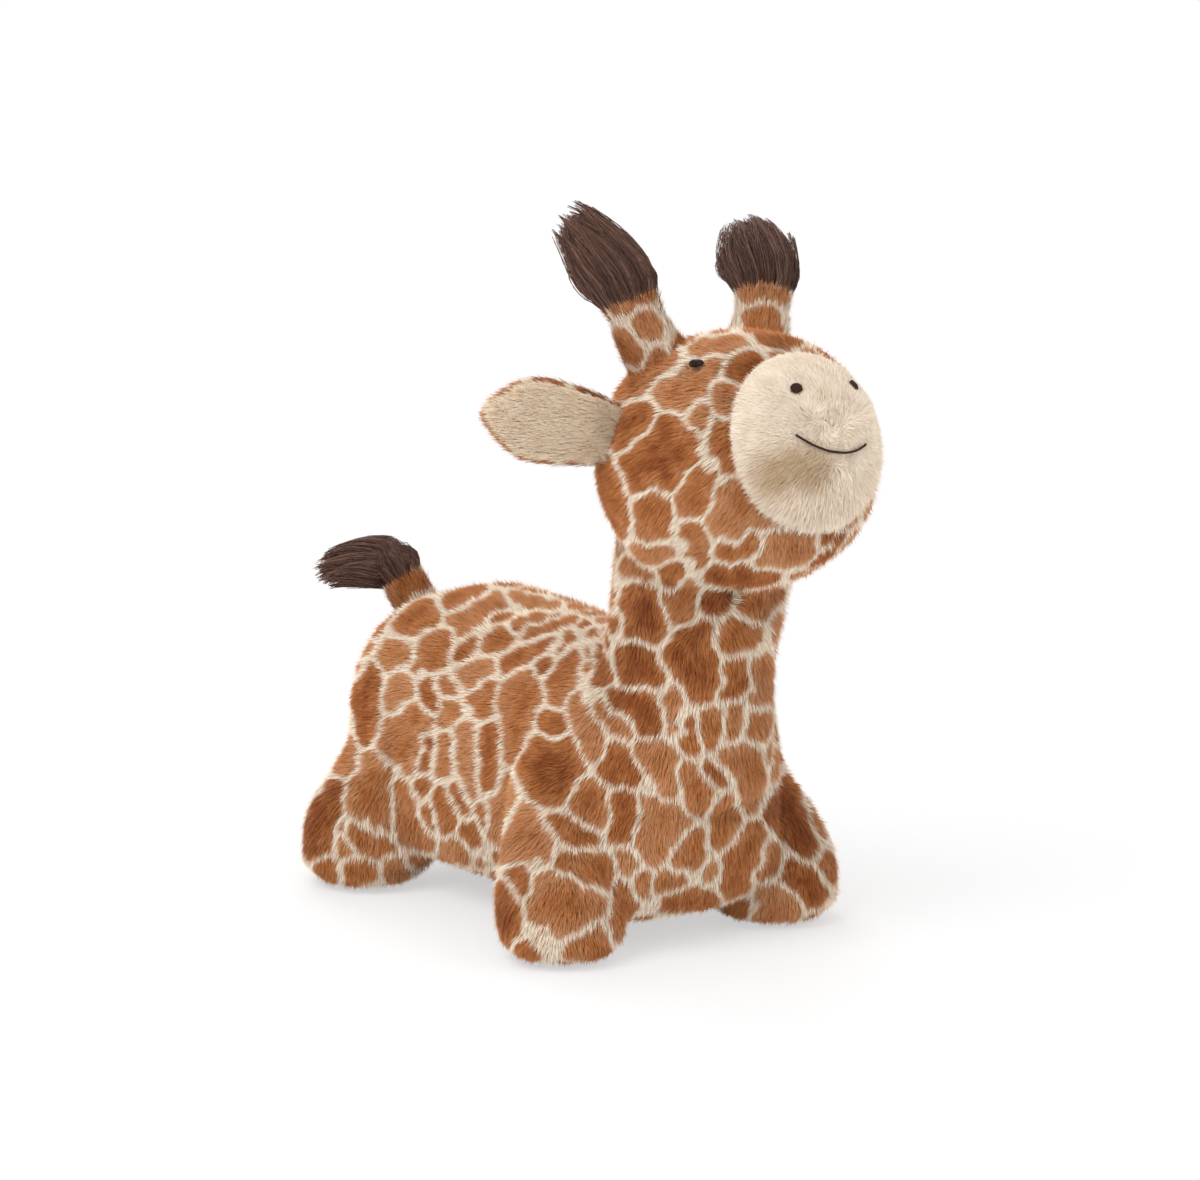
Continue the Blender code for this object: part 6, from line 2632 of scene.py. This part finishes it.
@dataclass(frozen=True)
class Tail:
    """The tail, which lies to the animal's right, with a tuft that droops."""

    trunk: Trunk
    z: float = 0.196
    stand_off: float = 0.014
    lies: float = math.radians(42)
    rise: float = math.radians(60)
    drop: float = 0.056
    carry: float = 0.044
    root: float = 0.029
    sleeve: Triple = (0.0215, 0.0186, 0.058)

    def dress(self, shop: Workshop, skin: BVHTree, coat: Coat) -> None:
        """Makes the tail.

        Args:
            shop: The trees and finishes.
            skin: The cover's skin.
            coat: The spots of the sleeve.
        """
        form = self.trunk.form
        rows = [form.first_dome * k / form.steps for k in range(1, form.steps)]
        row = min(rows, key=lambda place: abs(form.ring(place, [math.pi / 2])[0].z - self.z))
        point, out = form.surface(row, math.pi / 2)
        level = Vector((-math.sin(self.lies), math.cos(self.lies), 0))
        along = level * math.cos(self.rise) + Vector((0, 0, math.sin(self.rise)))
        bend = level * self.carry - Vector((0, 0, self.drop))
        tuft = Tuft(0.062, 0.0235, bend, Vector((0, 0, -0.004)), thickness=0.00055)
        limb = TuftedLimb("tail", "torso", self.root, *self.sleeve, tuft, coat, 81)
        limb.dress(shop, point + out * self.stand_off, along, skin)


@dataclass(frozen=True)
class Fittings:
    """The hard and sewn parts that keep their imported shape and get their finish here."""

    def dress(self) -> None:
        """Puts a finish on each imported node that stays."""
        washer = Moulded("washer_plastic", (0.72, 0.72, 0.70), 0.45).material()
        valve = Moulded("valve_plastic", (0.78, 0.78, 0.75), 0.35).material()
        nylon = Moulded("zip_nylon", (0.20, 0.09, 0.045), 0.4).material()
        metal = Moulded("zip_metal", (0.60, 0.58, 0.54), 0.3, 1.0).material()
        tape = Woven("zip_tape_cloth", (0.24, 0.11, 0.055)).material()
        binding = Woven("eyelet_binding_cloth", (0.24, 0.10, 0.045), rib=0.0009).material()
        finishes = {
            "eye_washer": washer,
            "valve_eyelet": binding,
            "valve": valve,
            "zip_tape": tape,
            "zip_teeth": nylon,
            "zip": metal,
        }
        for name, node in frame["nodes"].items():
            found = next((word for word in finishes if name.startswith(word)), None)
            if found and not node.hide_render:
                for slot in node.material_slots:
                    slot.material = finishes[found]
                log.info("%s: %s", name, finishes[found].name)


def main() -> None:
    """Builds the classes in order."""
    logging.basicConfig(level=logging.INFO, format="%(name)s %(message)s", stream=sys.stdout)
    studio = Studio()
    studio.build()
    black = Moulded("black_eye_plastic", (0.016, 0.009, 0.006), 0.28, specular=0.10)
    thread = Woven("dark_thread", (0.030, 0.011, 0.007), rib=0.0004, roughness=0.75, sheen=0.0)
    shop = Workshop(
        studio=studio,
        pile=PileTree(),
        strands=StrandTree("sweep_hairs", 2),
        threads=StrandTree("sweep_threads", 8),
        spotted=SpottedPlush().material(),
        # The muzzle's darker colour serves its random tone and the painted shade of its lower patch.
        pale=PlainPlush("muzzle_plush_finish", (0.93, 0.815, 0.68), (0.60, 0.43, 0.26)).material(),
        beige=PlainPlush("ear_lining_finish", (0.98, 0.87, 0.71), (0.80, 0.60, 0.38)).material(),
        dark=LongPile().material(),
        thread=thread.material(),
        plastic=black.material(),
    )
    head, trunk = Head(), Trunk()
    legs = tuple(Leg(side, end) for side in Side for end in End)
    muzzle = Muzzle(head)
    coat = Coat(studio, BODY_SPOTS, pale=PALE_PATCHES)
    skin = SewnCover(trunk, legs, Neck(), head, coat).dress(shop, tree_of(muzzle.skin))
    muzzle.dress(shop, skin)
    for side in Side:
        Eye(head, side).dress(shop)
        Ear(head, side).dress(shop, skin, Coat(studio, (), 0.024, 0.010, grow=0.003))
    sleeves = {"spacing": 0.026, "fine": 0.009, "grow": 0.003}
    spots = {Side.RIGHT: RIGHT_HORN_SPOTS, Side.LEFT: LEFT_HORN_SPOTS}
    coats = {side: Coat(studio, rows, **sleeves) for side, rows in spots.items()}
    Horns(head).dress(shop, skin, coats)
    Tail(trunk).dress(shop, skin, Coat(studio, TAIL_SPOTS, **sleeves))
    Fittings().dress()
    shop.pile.remove()


if __name__ == "__main__":
    main()
